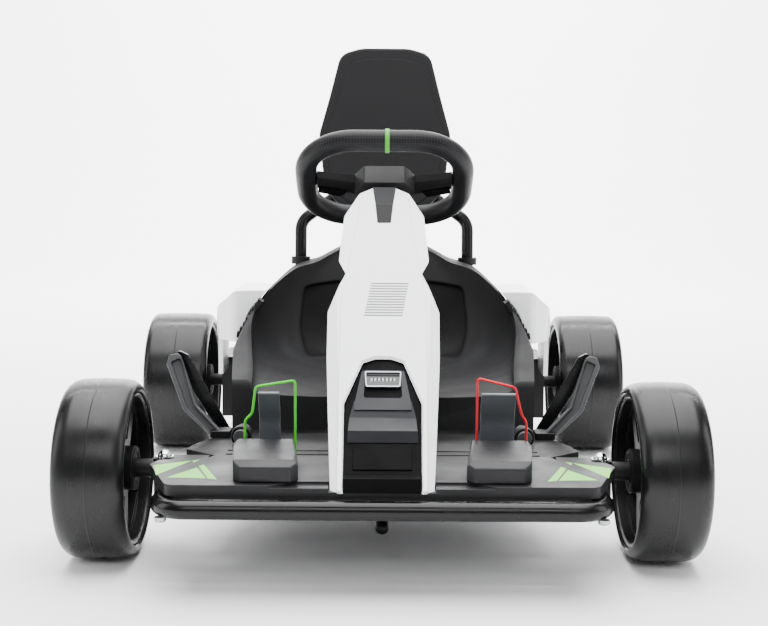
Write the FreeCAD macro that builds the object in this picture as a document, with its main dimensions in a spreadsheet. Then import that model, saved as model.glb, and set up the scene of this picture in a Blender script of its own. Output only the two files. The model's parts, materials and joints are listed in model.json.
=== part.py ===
import FreeCAD, Part
import math
import os
from types import SimpleNamespace

import Sketcher
from FreeCAD import Placement, Rotation, Vector

# Electric drift kart for a child. Millimetres and degrees, X to the driver's left, Y to the rear,
# Z up. The origin lies on the ground under the middle of the kart's length and width.

SIZES = [
    # alias, value, what it measures
    ("wheelbase", 640, "front axle to rear axle"),
    ("front_overhang", 176, "front axle to the foremost point of the front bumper"),
    ("rear_overhang", 176, "rear axle to the rearmost point of the rear bumper"),
    ("front_track", 681, "middle of the left front tyre to middle of the right one"),
    ("rear_tyre_gap", 55, "seat's side to the inner side of a rear tyre"),
    ("front_tyre_radius", 110, "front tyre"),
    ("front_tyre_width", 85, "front tyre"),
    ("front_shoulder", 21, "rounding of the front tyre's shoulders"),
    ("front_rim_radius", 94, "seat of the front tyre"),
    ("rear_tyre_radius", 115, "rear tyre"),
    ("rear_tyre_width", 104, "rear tyre"),
    ("rear_shoulder", 12.5, "rounding of the rear tyre's shoulders"),
    ("rear_rim_radius", 98, "seat of the rear tyre"),
    ("rim_wall", 6, "barrel of a rim"),
    ("rim_inset", 5, "edge of the rim's barrel inside the tyre's side"),
    ("rim_recess", 12, "spokes inside the rim's inner edge"),
    ("rim_hub_radius", 27, "hub of a rim"),
    ("window_margin", 7, "metal left between a rim's window and its hub or barrel"),
    ("front_axle_radius", 8, "front stub axle"),
    ("rear_axle_radius", 10, "rear stub axle"),
    ("running_gap", 0.05, "radial clearance of a running fit"),
    ("seat_gap", 0.3, "clearance between pieces that rest on each other"),
    ("moving_gap", 5, "clearance beside a moving piece"),
    ("kingpin_offset", 31, "kingpin to the inner side of a front tyre"),
    ("kingpin_radius", 6, "kingpin bolt"),
    ("knuckle_radius", 14, "barrel that turns on the kingpin"),
    ("knuckle_bottom", 76, "lower end of the knuckle's barrel above the ground"),
    ("knuckle_top", 118, "upper end of the knuckle's barrel above the ground"),
    ("lug_thickness", 5, "yoke lugs above and below the knuckle"),
    ("yoke_web", 18, "thickness of the upright plate of the yoke"),
    ("yoke_reach", 35, "kingpin to the outer face of the yoke's plate"),
    ("arm_length", 60, "kingpin to the track rod's pin"),
    ("arm_width", 16, "steering arm and track rod, across"),
    ("arm_thickness", 8, "steering arm and track rod, up"),
    ("rod_drop", 2, "steering arm above the track rod"),
    ("rod_pin_radius", 4, "pins of the track rod and of the crank"),
    ("axle_beam", 30, "square tube that joins the yokes"),
    ("axle_beam_setback", 52, "front axle to the middle of the square tube"),
    ("hub_setback", 258, "front axle to the middle of the steering wheel"),
    ("hub_height", 463, "middle of the steering wheel above the ground"),
    ("column_angle", 54, "steering shaft above the level"),
    ("shaft_radius", 9, "steering shaft"),
    ("crank_height", 102, "foot of the steering shaft above the ground"),
    ("crank_thickness", 8, "crank at the foot of the shaft"),
    ("crank_width", 17, "crank and the sleeve on its pin"),
    ("sleeve_top", 55, "top of the sleeve on the crank pin above the ground"),
    ("sleeve_tip", 32, "lowest point of the sleeve above the ground"),
    ("steer_limit", 40, "steering wheel, each way"),
    ("steer_share", 0.45, "turn of the front wheels for one degree of the steering wheel"),
    ("slot_play", 1, "room each side of the crank pin in the track rod's slot"),
    ("jacket_wall", 4, "wall of the fixed tube around the steering shaft"),
    ("jacket_top", 398, "upper end of the fixed tube above the ground"),
    ("rail_radius", 14, "main rails"),
    ("rail_spread", 220, "left rail to right rail"),
    ("cross_radius", 10, "cross tubes of the frame"),
    ("bumper_radius", 10.8, "bumper tubes"),
    ("bumper_inset", 17, "side of the front bumper inside the kingpin"),
    ("bumper_depth", 85, "front bumper's front tube to its mounting tube"),
    ("deck_bottom", 113.5, "underside of the deck and of the floor above the ground"),
    ("deck_thickness", 13.5, "front deck"),
    ("deck_edge", 13, "deck's front edge behind the middle of the bumper"),
    ("deck_recess", 3, "lowered middle of the deck's front edge"),
    ("floor_thickness", 8, "floor behind the deck"),
    ("floor_half", 206, "side of the floor beside the seat, from the middle"),
    ("wing_reach", 44, "pointed wing of the floor beyond its side"),
    ("guard_setback", 64, "side guards in front of the bucket"),
    ("guard_height", 112, "side guards above the floor"),
    ("guard_splay", 84, "top of a side guard further out than its foot"),
    ("guard_depth", 16, "flanges of the side guards"),
    ("guard_lean", 14, "side guards lean to the rear, degrees"),
    ("brace_thickness", 5, "flat braces behind the side guards"),
    ("nose_width", 110, "foot of the nose"),
    ("nose_wall", 5, "wall of the nose and column moulding"),
    ("flank_angle", 38, "flanks of the nose, turned back from its front face"),
    ("nose_toe", 120, "lower edge of the nose above the ground"),
    ("column_top", 452, "tips of the column moulding above the ground"),
    ("pedal_box_width", 73, "housing in front of a pedal"),
    ("pedal_box_skew", 13, "rear end of a housing further out than its front end"),
    ("pedal_box_height", 24, "housing in front of a pedal"),
    ("pedal_spread", 262, "front end of one pedal housing to the other's, middle to middle"),
    ("throttle_width", 26, "throttle pedal"),
    ("brake_width", 42, "brake pedal"),
    ("pedal_height", 84, "pedals above the floor"),
    ("pedal_thickness", 7, "pedals"),
    ("guard_rod_radius", 2.5, "wire of the pedal guards"),
    ("seat_width", 476, "bucket, side to side"),
    ("seat_depth", 465, "bucket, front to back"),
    ("seat_height", 356, "top of the bucket above the ground"),
    ("seat_taper", 30, "bucket narrower at its front, each side"),
    ("seat_side_rim", 34, "thickness of the bucket's edge at its sides"),
    ("cushion_height", 52, "front edge of the seat above the floor's underside"),
    ("bolster_height", 77, "front end of the bucket's sides above the floor's underside"),
    ("panel_depth", 5, "recessed panel in the bucket's back"),
    ("back_gap", 50, "bucket's top to the lower edge of the backrest"),
    ("back_height", 274, "backrest, measured upright"),
    ("back_width", 222, "widest place of the backrest"),
    ("back_thickness", 34, "backrest"),
    ("back_lean", 8, "backrest leans to the rear"),
    ("hoop_radius", 10, "tube that carries the backrest"),
    ("hoop_spread", 284, "left foot of the hoop to the right foot"),
    ("hoop_neck", 130, "left side of the hoop to the right one behind the backrest"),
    ("collar_drop", 38, "bucket's top to the foot of the collars"),
    ("collar_height", 12, "collars where the hoop leaves the bucket"),
    ("hoop_depth", 36, "length of the hoop's feet inside the bucket"),
    ("collar_wall", 6, "collars where the hoop leaves the bucket"),
    ("pod_length", 160, "side pods"),
    ("pod_setback", 30, "rear end of a side pod in front of the rear axle"),
    ("pod_reach", 30, "side of a pod outside the bucket"),
    ("pod_depth", 84, "side pods, lower edge to top"),
    ("pod_rise", 173, "top of the side pods above the floor's underside"),
    ("skirt_rise", 37, "lower edge of the skirts above the floor's underside"),
    ("skirt_thickness", 7, "skirts under the side pods"),
    ("motor_radius", 42, "drive motors"),
    ("rear_plate_thickness", 18, "plates that carry the rear stub axles"),
    ("rear_plate_gap", 23, "outer face of a rear plate to the inner side of the tyre"),
    ("rear_beam", 30, "square tube between the rear plates"),
    ("battery_width", 180, "battery case"),
    ("battery_length", 190, "battery case"),
    ("battery_height", 62, "battery case"),
    ("rim_tube_radius", 15, "grip of the steering wheel"),
    ("rim_half_width", 109, "middle of the grip from the middle of the wheel, sideways"),
    ("rim_half_height", 88, "middle of the grip from the middle of the wheel, along the wheel"),
    ("band_width", 8, "coloured band on the grip"),
    ("hub_width", 92, "boss of the steering wheel"),
    ("hub_thickness", 24, "boss of the steering wheel"),
    ("flag_bore", 6.1, "radius of the flag socket's bore"),
    ("hitch_bore", 5.5, "radius of the hitch hole"),
]

doc = FreeCAD.newDocument("drift_kart")
sheet = doc.addObject("Spreadsheet::Sheet", "Sizes")
for row, (alias, value, note) in enumerate(SIZES, start=1):
    sheet.set(f"A{row}", note)
    sheet.set(f"B{row}", str(value))
    sheet.setAlias(f"B{row}", alias)
doc.recompute()


def number(value):
    """Plain number behind a size."""
    return float(value)


def formula(value):
    """Text that the sheet understands for a size or a plain number."""
    return value.text if isinstance(value, Size) else repr(float(value))


class Size:
    """A length that knows its number and the spreadsheet formula that gives it."""

    def __init__(self, value, text):
        self.value = float(value)
        self.text = text

    def __float__(self):
        return self.value

    def __add__(self, other):
        return Size(self.value + number(other), f"({self.text} + {formula(other)})")

    def __radd__(self, other):
        return Size(number(other) + self.value, f"({formula(other)} + {self.text})")

    def __sub__(self, other):
        return Size(self.value - number(other), f"({self.text} - {formula(other)})")

    def __rsub__(self, other):
        return Size(number(other) - self.value, f"({formula(other)} - {self.text})")

    def __mul__(self, other):
        return Size(self.value * number(other), f"({self.text} * {formula(other)})")

    __rmul__ = __mul__

    def __truediv__(self, other):
        return Size(self.value / number(other), f"({self.text} / {formula(other)})")

    def __neg__(self):
        return Size(-self.value, f"(-{self.text})")


s = SimpleNamespace(**{alias: Size(sheet.get(alias), "Sizes." + alias) for alias, _, _ in SIZES})
sub_parts = []

# Places that follow from the sizes

front_axle = -(s.wheelbase + s.rear_overhang - s.front_overhang) / 2
rear_axle = front_axle + s.wheelbase
bumper_front = front_axle - s.front_overhang + s.bumper_radius
bumper_back = bumper_front + s.bumper_depth
rear_bumper_line = rear_axle + s.rear_overhang - s.bumper_radius
deck_top = s.deck_bottom + s.deck_thickness
floor_top = s.deck_bottom + s.floor_thickness
rail_height = s.deck_bottom - s.seat_gap - s.rail_radius
bumper_height = s.deck_bottom - s.seat_gap - s.bumper_radius
deck_front = bumper_front + s.deck_edge
deck_back = front_axle - 2
kingpin_x = s.front_track / 2 - s.front_tyre_width / 2 - s.kingpin_offset
bumper_half = kingpin_x - s.bumper_inset
seat_half = s.seat_width / 2
seat_back_line = rear_axle + 15
seat_front = seat_back_line - s.seat_depth
back_bottom = s.seat_height + s.back_gap
back_top = back_bottom + s.back_height
hoop_line = seat_back_line - 24
collar_foot = s.seat_height - s.collar_drop
hoop_knee = collar_foot + s.collar_height + 4
rear_inner_side = seat_half + s.rear_tyre_gap
rear_track = (rear_inner_side + s.rear_tyre_width / 2) * 2
rear_plate_face = rear_inner_side - s.rear_plate_gap
rod_line = front_axle + s.arm_length
rod_top = s.knuckle_bottom - s.rod_drop
rod_bottom = rod_top - s.arm_thickness
beam_line = front_axle + s.axle_beam_setback
beam_front = beam_line - s.axle_beam / 2
beam_back = beam_line + s.axle_beam / 2
battery_front = front_axle + 275
battery_back = battery_front + s.battery_length
hub_centre = Vector(0, float(front_axle + s.hub_setback), float(s.hub_height))
column = math.radians(float(s.column_angle))
shaft_up = Vector(0, math.cos(column), math.sin(column))
wheel_up = Vector(0, -math.sin(column), math.cos(column))
steer = math.radians(float(s.steer_limit))
wheel_turn = steer * float(s.steer_share)
crank_radius = float(s.arm_length) * math.sin(wheel_turn) / math.sin(steer)


def on_shaft(height):
    """Point of the steering shaft's middle line at a height above the ground."""
    return hub_centre + shaft_up * ((float(height) - hub_centre.z) / shaft_up.z)


def bind(thing, prop, value):
    """Sets a property and ties it to the sheet when the value comes from there."""
    if isinstance(value, Size):
        thing.setExpression(prop, value.text)


def keep(thing, label):
    """Registers a finished sub-part under its own label."""
    thing.Label = label
    sub_parts.append(thing)
    return thing


def feature(label, shape):
    """Sub-part whose shape is worked out here from the sizes of the sheet."""
    place = shape.Placement
    thing = doc.addObject("Part::Feature", label)
    thing.Shape = shape
    thing.Placement = place
    return keep(thing, label)


# Part primitives and booleans

ALONG = {
    "x": Rotation(Vector(0, 1, 0), 90),
    "y": Rotation(Vector(1, 0, 0), -90),
    "z": Rotation(),
    "shaft": Rotation(Vector(0, 0, 1), shaft_up),
}


def primitive(kind, name, place, turn, **sizes):
    """A Part primitive with its sizes and its place tied to the sheet."""
    thing = doc.addObject("Part::" + kind, name)
    for prop, value in sizes.items():
        setattr(thing, prop, float(value))
        bind(thing, prop, value)
    thing.Placement = Placement(Vector(*[float(value) for value in place]), turn)
    for axis, value in zip("xyz", place):
        bind(thing, "Placement.Base." + axis, value)
    return thing


def cylinder(name, along, foot, radius, length):
    """Round bar from its foot along an axis."""
    return primitive("Cylinder", name, foot, ALONG[along], Radius=radius, Height=length)


def block(name, corner, size):
    """Box from its lowest corner."""
    return primitive("Box", name, corner, Rotation(), Length=size[0], Width=size[1], Height=size[2])


def fused(name, things):
    """One solid of several overlapping ones."""
    fusion = doc.addObject("Part::MultiFuse", name)
    fusion.Shapes = things
    fusion.Refine = True
    return fusion


def cut(name, base, tool):
    """Base without the tool."""
    result = doc.addObject("Part::Cut", name)
    result.Base = base
    result.Tool = tool
    return result


# PartDesign bodies


def new_body(label, place=(0, 0, 0)):
    """Empty body at a place tied to the sheet."""
    body = doc.addObject("PartDesign::Body", label)
    body.Placement.Base = Vector(*[float(value) for value in place])
    for axis, value in zip("xyz", place):
        bind(body, "Placement.Base." + axis, value)
    return keep(body, label)


def sketched(body, role, points, name):
    """Closed outline of straight lines on an origin plane, each corner held by two distances."""
    sketch = body.newObject("Sketcher::SketchObject", name)
    plane = [item for item in body.Origin.OriginFeatures if item.Role == role][0]
    sketch.AttachmentSupport = [(plane, "")]
    sketch.MapMode = "FlatFace"
    corners = [Vector(float(across), float(up), 0) for across, up in points]
    for here, there in zip(corners, corners[1:] + corners[:1]):
        sketch.addGeometry(Part.LineSegment(here, there))
    for index in range(len(points)):
        following = (index + 1) % len(points)
        sketch.addConstraint(Sketcher.Constraint("Coincident", index, 2, following, 1))
    for index, point in enumerate(points):
        for kind, value in zip(("DistanceX", "DistanceY"), point):
            held = sketch.addConstraint(Sketcher.Constraint(kind, index, 1, float(value)))
            bind(sketch, f"Constraints[{held}]", value)
    return sketch


def pocketed(body, sketch, name):
    """Sketch cut through everything, both ways."""
    pocket = body.newObject("PartDesign::Pocket", name)
    pocket.Profile = sketch
    pocket.Type = 1
    pocket.Midplane = True
    return pocket


# Outlines with rounded corners, and the solids made from them


def rounded(points, radii, closed):
    """Lines through points with a tangent arc at each corner that has a radius."""
    pieces = []
    ends = []
    for index, (point, radius) in enumerate(zip(points, radii)):
        last = points[index - 1]
        following = points[(index + 1) % len(points)]
        if radius == 0:
            ends.append((point, point))
            continue
        to_last = (last - point).normalize()
        to_next = (following - point).normalize()
        half = to_last.getAngle(to_next) / 2
        reach = radius / math.tan(half)
        start = point + to_last * reach
        stop = point + to_next * reach
        inward = (to_last + to_next).normalize()
        middle = point + inward * (radius / math.sin(half) - radius)
        pieces.append((index, Part.Arc(start, middle, stop).toShape()))
        ends.append((start, stop))
    arcs = dict(pieces)
    edges = []
    for index in range(len(points)):
        if index in arcs:
            edges.append(arcs[index])
        following = (index + 1) % len(points)
        if following == 0 and not closed:
            break
        here = ends[index][1]
        there = ends[following][0]
        if here.distanceToPoint(there) > 1e-6:
            edges.append(Part.LineSegment(here, there).toShape())
    return Part.Wire(edges)


VIEWS = {
    # what a view's across, up and depth are in the kart's frame
    "plan": Rotation(),
    "front": Rotation(Vector(1, 0, 0), Vector(0, 0, 1), Vector(0, -1, 0), "XYZ"),
    "side": Rotation(Vector(0, 1, 0), Vector(0, 0, 1), Vector(1, 0, 0), "XYZ"),
}


def prism(view, corners, start, end):
    """Solid with the outline of one view; a corner is (across, up) or (across, up, radius)."""
    points = [Vector(float(corner[0]), float(corner[1]), 0) for corner in corners]
    radii = [float(corner[2]) if len(corner) > 2 else 0 for corner in corners]
    solid = Part.Face(rounded(points, radii, True)).extrude(Vector(0, 0, float(end) - float(start)))
    turn = VIEWS[view]
    base = {"plan": Vector(0, 0, start), "front": Vector(0, end, 0), "side": Vector(start, 0, 0)}
    solid.Placement = Placement(base[view], turn)
    return solid


def mirrored_corners(right_half):
    """Both halves of an outline from its half with positive across values."""
    other = [(-corner[0],) + tuple(corner[1:]) for corner in reversed(right_half)]
    return list(right_half) + other


def tube(points, radius, bend):
    """Round bar along straight runs joined by arcs."""
    path = rounded([Vector(*point) for point in points], [0] + [bend] * (len(points) - 2) + [0], False)
    ring = Part.Wire(Part.makeCircle(radius, Vector(*points[0]), Vector(*points[1]) - Vector(*points[0])))
    return path.makePipeShell([ring], True, True)


def both_sides(shape):
    """The shape and its mirror image, as two solids."""
    return Part.makeCompound([shape, other_side(shape)])


def other_side(shape):
    """Mirror image on the other side of the kart."""
    return shape.mirror(Vector(0, 0, 0), Vector(1, 0, 0))


def bar(foot, direction, radius, length):
    """Round bar as a plain shape."""
    return Part.makeCylinder(float(radius), float(length), foot, direction)


# Wheels

WHEELS = [
    # name, axle line, tyre radius, width, shoulder, rim radius, track, axle radius
    ("front", front_axle, s.front_tyre_radius, s.front_tyre_width, s.front_shoulder,
     s.front_rim_radius, s.front_track, s.front_axle_radius),
    ("rear", rear_axle, s.rear_tyre_radius, s.rear_tyre_width, s.rear_shoulder,
     s.rear_rim_radius, rear_track, s.rear_axle_radius),
]
SIDES = [("left", 1), ("right", -1)]
RIM_WINDOWS = 5
SHOULDER_STEPS = 3
SHOULDER_SHARE = 0.8  # of the tyre's height above its seat


def tyre(name, place, radius, width, shoulder, seat):
    """Ring with flat sides, a flat tread and shoulders turned in a few short steps."""
    body = new_body(name, place)
    half = width / 2
    corner = []
    for step in range(SHOULDER_STEPS + 1):
        angle = math.radians(90 * step / SHOULDER_STEPS)
        drop = (radius - seat) * SHOULDER_SHARE * (1 - math.sin(angle))
        corner.append((half - shoulder * (1 - math.cos(angle)), radius - drop))
    mirrored = [(-across, up) for across, up in reversed(corner)]
    outline = [(-half, seat), (half, seat)] + corner + mirrored
    ring = body.newObject("PartDesign::Revolution", name + "_ring")
    ring.Profile = sketched(body, "XZ_Plane", outline, name + "_section")
    ring.ReferenceAxis = (ring.Profile[0], ["H_Axis"])


def rim(name, place, side, width, seat, axle):
    """Barrel with deep spokes and a long hub with the axle's bore."""
    body = new_body(name, place)
    half = width / 2 - s.rim_inset
    outer = seat - s.seat_gap
    inner = outer - s.rim_wall
    bore = axle + s.running_gap
    web_out = side * (half - s.rim_inset)
    web_in = -side * (half - s.rim_recess)
    outline = [
        (side * half, inner), (side * half, outer), (-side * half, outer), (-side * half, inner),
        (web_in, inner), (web_in, s.rim_hub_radius), (-side * half, s.rim_hub_radius),
        (-side * half, bore), (side * half, bore), (side * half, s.rim_hub_radius),
        (web_out, s.rim_hub_radius), (web_out, inner),
    ]
    turned = body.newObject("PartDesign::Revolution", name + "_turned")
    turned.Profile = sketched(body, "XZ_Plane", outline, name + "_section")
    turned.ReferenceAxis = (turned.Profile[0], ["H_Axis"])
    low = s.rim_hub_radius + s.window_margin
    high = inner - s.window_margin
    narrow = 0.36
    wide = 0.52
    window = [(-low * narrow, low), (low * narrow, low), (high * wide, high * 0.86),
              (high * narrow, high), (-high * narrow, high), (-high * wide, high * 0.86)]
    window_sketch = sketched(body, "YZ_Plane", window, name + "_window")
    pocket = pocketed(body, window_sketch, name + "_cut")
    windows = body.newObject("PartDesign::PolarPattern", name + "_windows")
    windows.Originals = [pocket]
    windows.Axis = (window_sketch, ["N_Axis"])
    windows.Angle = 360
    windows.Occurrences = RIM_WINDOWS
    body.Tip = windows


def wheels():
    """Four tyres on four rims."""
    for name, line, radius, width, shoulder, seat, track, axle in WHEELS:
        for side_name, side in SIDES:
            place = (side * track / 2, line, radius)
            tyre(f"{name}_tyre_{side_name}", place, radius, width, shoulder, seat)
            rim(f"{name}_rim_{side_name}", place, side, width, seat, axle)


# Frame and axles


def main_frame():
    """Two rails that butt on the axle beams, with cross tubes."""
    rail_x = s.rail_spread / 2
    rear_beam_front = rear_axle - s.motor_radius - s.seat_gap - s.rear_beam
    tubes = []
    for side_name, side in SIDES:
        tubes.append(cylinder("front_rail_" + side_name, "y", (side * rail_x, bumper_back, rail_height),
                              s.rail_radius, beam_front - s.seat_gap - bumper_back))
        tubes.append(cylinder("rear_rail_" + side_name, "y",
                              (side * rail_x, beam_back + s.seat_gap, rail_height), s.rail_radius,
                              rear_beam_front - s.seat_gap - beam_back - s.seat_gap))
    mount_half = bumper_half - s.bumper_depth * 0.6
    tubes.append(cylinder("bumper_tube", "x", (-mount_half, bumper_back, bumper_height),
                          s.bumper_radius, mount_half * 2))
    carrier_half = rail_x + s.rail_radius * 3
    for name, line in (("seat_tube_front", battery_front - 15), ("seat_tube_rear", battery_back + 15)):
        tubes.append(cylinder(name, "x", (-carrier_half, line, rail_height), s.cross_radius,
                              carrier_half * 2))
    keep(fused("frame_tubes", tubes), "main_frame")


def front_bumper():
    """Tube across the front whose ends turn back and in to the frame's mounting tube."""
    half = float(bumper_half)
    depth = float(s.bumper_depth)
    end = half - depth * 0.6 + float(s.seat_gap)
    front = float(bumper_front)
    back = float(bumper_back)
    height = float(bumper_height)
    bend = depth * 0.4
    run = [(-end, back), (-half, back), (-half, front), (half, front), (half, back), (end, back)]
    feature("front_bumper", tube([(x, y, height) for x, y in run], float(s.bumper_radius), bend))


def front_axle_beam():
    """Square tube behind the axle line with a forked yoke for each kingpin."""
    web_out = kingpin_x - s.yoke_reach
    web_in = web_out - s.yoke_web
    beam_top = s.deck_bottom - s.seat_gap
    beam_bottom = beam_top - s.axle_beam
    lug_low = s.knuckle_bottom - s.seat_gap - s.lug_thickness
    lug_high = s.knuckle_top + s.seat_gap
    web_top = lug_high + s.lug_thickness
    pieces = [block("beam", (-web_in, beam_front, beam_bottom), (web_in * 2, s.axle_beam, s.axle_beam))]
    holes = []
    for side_name, side in SIDES:
        corner = web_in if side > 0 else -web_out
        pieces.append(block("arm_" + side_name, (corner, front_axle - s.knuckle_radius, beam_bottom),
                            (s.yoke_web, beam_back - front_axle + s.knuckle_radius, s.axle_beam)))
        pieces.append(block("web_" + side_name, (corner, front_axle - s.knuckle_radius, lug_low),
                            (s.yoke_web, s.knuckle_radius * 2, web_top - lug_low)))
        for name, height in (("low", lug_low), ("high", lug_high)):
            pieces.append(cylinder(f"lug_{name}_{side_name}", "z", (side * kingpin_x, front_axle, height),
                                   s.knuckle_radius, s.lug_thickness))
            tongue = web_in if side > 0 else -kingpin_x
            pieces.append(block(f"tongue_{name}_{side_name}", (tongue, front_axle - s.knuckle_radius, height),
                                (kingpin_x - web_in, s.knuckle_radius * 2, s.lug_thickness)))
        holes.append(cylinder("kingpin_hole_" + side_name, "z",
                              (side * kingpin_x, front_axle, lug_low - s.lug_thickness),
                              s.kingpin_radius + s.running_gap, web_top))
    keep(cut("yoked_beam", fused("yokes", pieces), fused("kingpin_holes", holes)), "front_axle_beam")


def kingpins():
    """Bolts through yoke and knuckle, with a round head below and a domed nut on top."""
    low = float(s.knuckle_bottom - s.seat_gap * 2 - s.lug_thickness)
    high = float(s.knuckle_top + s.seat_gap * 2 + s.lug_thickness)
    radius = float(s.kingpin_radius)
    nut = radius + 3
    centre = Vector(float(kingpin_x), float(front_axle), 0)
    head_height = 6
    shank = bar(centre + Vector(0, 0, low), Vector(0, 0, 1), radius, high - low)
    head = bar(centre + Vector(0, 0, low - head_height), Vector(0, 0, 1), nut, head_height)
    washer = bar(centre + Vector(0, 0, high), Vector(0, 0, 1), nut + 2, 1.6)
    dome = Part.makeSphere(nut, centre + Vector(0, 0, high))
    above = Part.makeBox(40, 40, 40, centre + Vector(-20, -20, high))
    feature("kingpins", both_sides(shank.fuse([head, washer, dome.common(above)]).removeSplitter()))


def knuckle(side_name, side):
    """Barrel on the kingpin with the stub axle outward and the steering arm to the rear."""
    x = side * kingpin_x
    bottom = s.knuckle_bottom
    axle_height = s.front_tyre_radius
    stub_end = s.front_track / 2 + s.front_tyre_width / 2 - s.rim_inset
    barrel = cylinder("barrel_" + side_name, "z", (x, front_axle, bottom), s.knuckle_radius,
                      s.knuckle_top - bottom)
    foot = kingpin_x if side > 0 else -stub_end - 2
    stub = cylinder("stub_" + side_name, "x", (foot, front_axle, axle_height), s.front_axle_radius,
                    stub_end - kingpin_x + 2)
    hub_side = s.front_track / 2 - s.front_tyre_width / 2 + s.rim_inset
    shoulder_start = kingpin_x + s.knuckle_radius + 1
    shoulder_length = hub_side - s.seat_gap - shoulder_start
    shoulder_foot = shoulder_start if side > 0 else -shoulder_start - shoulder_length
    shoulder = cylinder("shoulder_" + side_name, "x", (shoulder_foot, front_axle, axle_height),
                        s.front_axle_radius * 1.4, shoulder_length)
    arm = block("arm_bar_" + side_name, (x - s.arm_width / 2, front_axle, bottom),
                (s.arm_width, s.arm_length, s.arm_thickness))
    eye = cylinder("arm_eye_" + side_name, "z", (x, rod_line, bottom), s.arm_width / 2, s.arm_thickness)
    bore = cylinder("kingpin_bore_" + side_name, "z", (x, front_axle, bottom - 5),
                    s.kingpin_radius + s.running_gap, s.knuckle_top)
    play = s.running_gap if side > 0 else s.running_gap + 0.25
    pin_bore = cylinder("pin_bore_" + side_name, "z", (x, rod_line, bottom - 5),
                        s.rod_pin_radius + play, s.arm_thickness + 10)
    solid = fused("knuckle_solid_" + side_name, [barrel, stub, shoulder, arm, eye])
    bores = fused("knuckle_bores_" + side_name, [bore, pin_bore])
    keep(cut("knuckle_cut_" + side_name, solid, bores), "knuckle_" + side_name)


def track_rod():
    """Flat bar between the steering arms, with a tongue forward to the crank pin's slot."""
    half = s.arm_width / 2
    slot = slot_middle()
    pin_length = s.rod_drop + s.arm_thickness + 3
    tongue_half = s.crank_width * 0.9
    pieces = [
        block("rod_bar", (-kingpin_x, rod_line - half, rod_bottom),
              (kingpin_x * 2, s.arm_width, s.arm_thickness)),
        block("rod_tongue", (-tongue_half, slot - s.crank_width, rod_bottom),
              (tongue_half * 2, rod_line - slot + s.crank_width, s.arm_thickness)),
    ]
    for side_name, side in SIDES:
        x = side * kingpin_x
        pieces.append(cylinder("rod_end_" + side_name, "z", (x, rod_line, rod_bottom), half,
                               s.arm_thickness))
        pieces.append(cylinder("rod_pin_" + side_name, "z", (x, rod_line, rod_top - 1),
                               s.rod_pin_radius, pin_length + 1))
    reach = s.rod_pin_radius + s.slot_play
    travel = slot_half_length()
    slot_tool = block("slot_tool", (-reach, slot - travel, rod_bottom - 2),
                      (reach * 2, travel * 2, s.arm_thickness + 4))
    keep(cut("slotted_rod", fused("rod_solid", pieces), slot_tool), "track_rod")


def crank_foot():
    """Middle of the crank pin's root."""
    return on_shaft(s.crank_height) + Vector(0, math.sin(column), -math.cos(column)) * crank_radius


def slot_middle():
    """Place along the kart where the crank pin passes through the track rod, halfway of its travel."""
    foot = crank_foot()
    level = float(rod_top + rod_bottom) / 2
    straight = foot.y + (level - foot.z) / math.tan(column)
    pin_back = crank_radius * (1 - math.cos(steer)) / math.sin(column)
    rod_back = float(s.arm_length) * (1 - math.cos(wheel_turn))
    return straight - (pin_back - rod_back) / 2


def slot_half_length():
    """Half the slot's length: the slanted pin, its travel and the play."""
    pin = float(s.rod_pin_radius) / math.sin(column)
    lean = float(s.arm_thickness) / math.tan(column) / 2
    pin_back = crank_radius * (1 - math.cos(steer)) / math.sin(column)
    rod_back = float(s.arm_length) * (1 - math.cos(wheel_turn))
    return pin + lean + (pin_back - rod_back) / 2 + float(s.slot_play)


def rear_axle_beam():
    """Square tube with an end plate on each side that carries a stub axle."""
    face = rear_plate_face
    inner = face - s.rear_plate_thickness
    beam_back_face = rear_axle - s.motor_radius - s.seat_gap
    beam_top = s.deck_bottom - s.seat_gap
    axle_height = s.rear_tyre_radius
    stub_end = rear_track / 2 + s.rear_tyre_width / 2 - s.rim_inset
    plate_half = s.motor_radius + 8
    pieces = [block("rear_beam_tube", (-inner, beam_back_face - s.rear_beam, beam_top - s.rear_beam),
                    (inner * 2, s.rear_beam, s.rear_beam))]
    for side_name, side in SIDES:
        corner = inner if side > 0 else -face
        pieces.append(block("rear_plate_" + side_name,
                            (corner, beam_back_face - s.rear_beam, axle_height - plate_half),
                            (s.rear_plate_thickness, s.rear_beam + s.motor_radius + plate_half,
                             plate_half * 2)))
        foot = inner + 1 if side > 0 else -stub_end - 2
        pieces.append(cylinder("rear_stub_" + side_name, "x", (foot, rear_axle, axle_height),
                               s.rear_axle_radius, stub_end - inner + 1))
    keep(fused("rear_carrier", pieces), "rear_axle_beam")


def drive_motors():
    """A round motor on the inner face of each rear plate."""
    inner = float(rear_plate_face - s.rear_plate_thickness - s.seat_gap)
    radius = float(s.motor_radius)
    profile = [(inner, 0), (inner, radius), (inner - 26, radius), (inner - 30, radius - 5),
               (inner - 100, radius - 5), (inner - 106, radius - 11), (inner - 106, 0)]
    wire = Part.makePolygon([Vector(x, 0, r) for x, r in profile + profile[:1]])
    motor = Part.Face(wire).revolve(Vector(0, 0, 0), Vector(1, 0, 0), 360)
    motor.translate(Vector(0, float(rear_axle), float(s.rear_tyre_radius)))
    feature("drive_motors", both_sides(motor))


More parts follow.
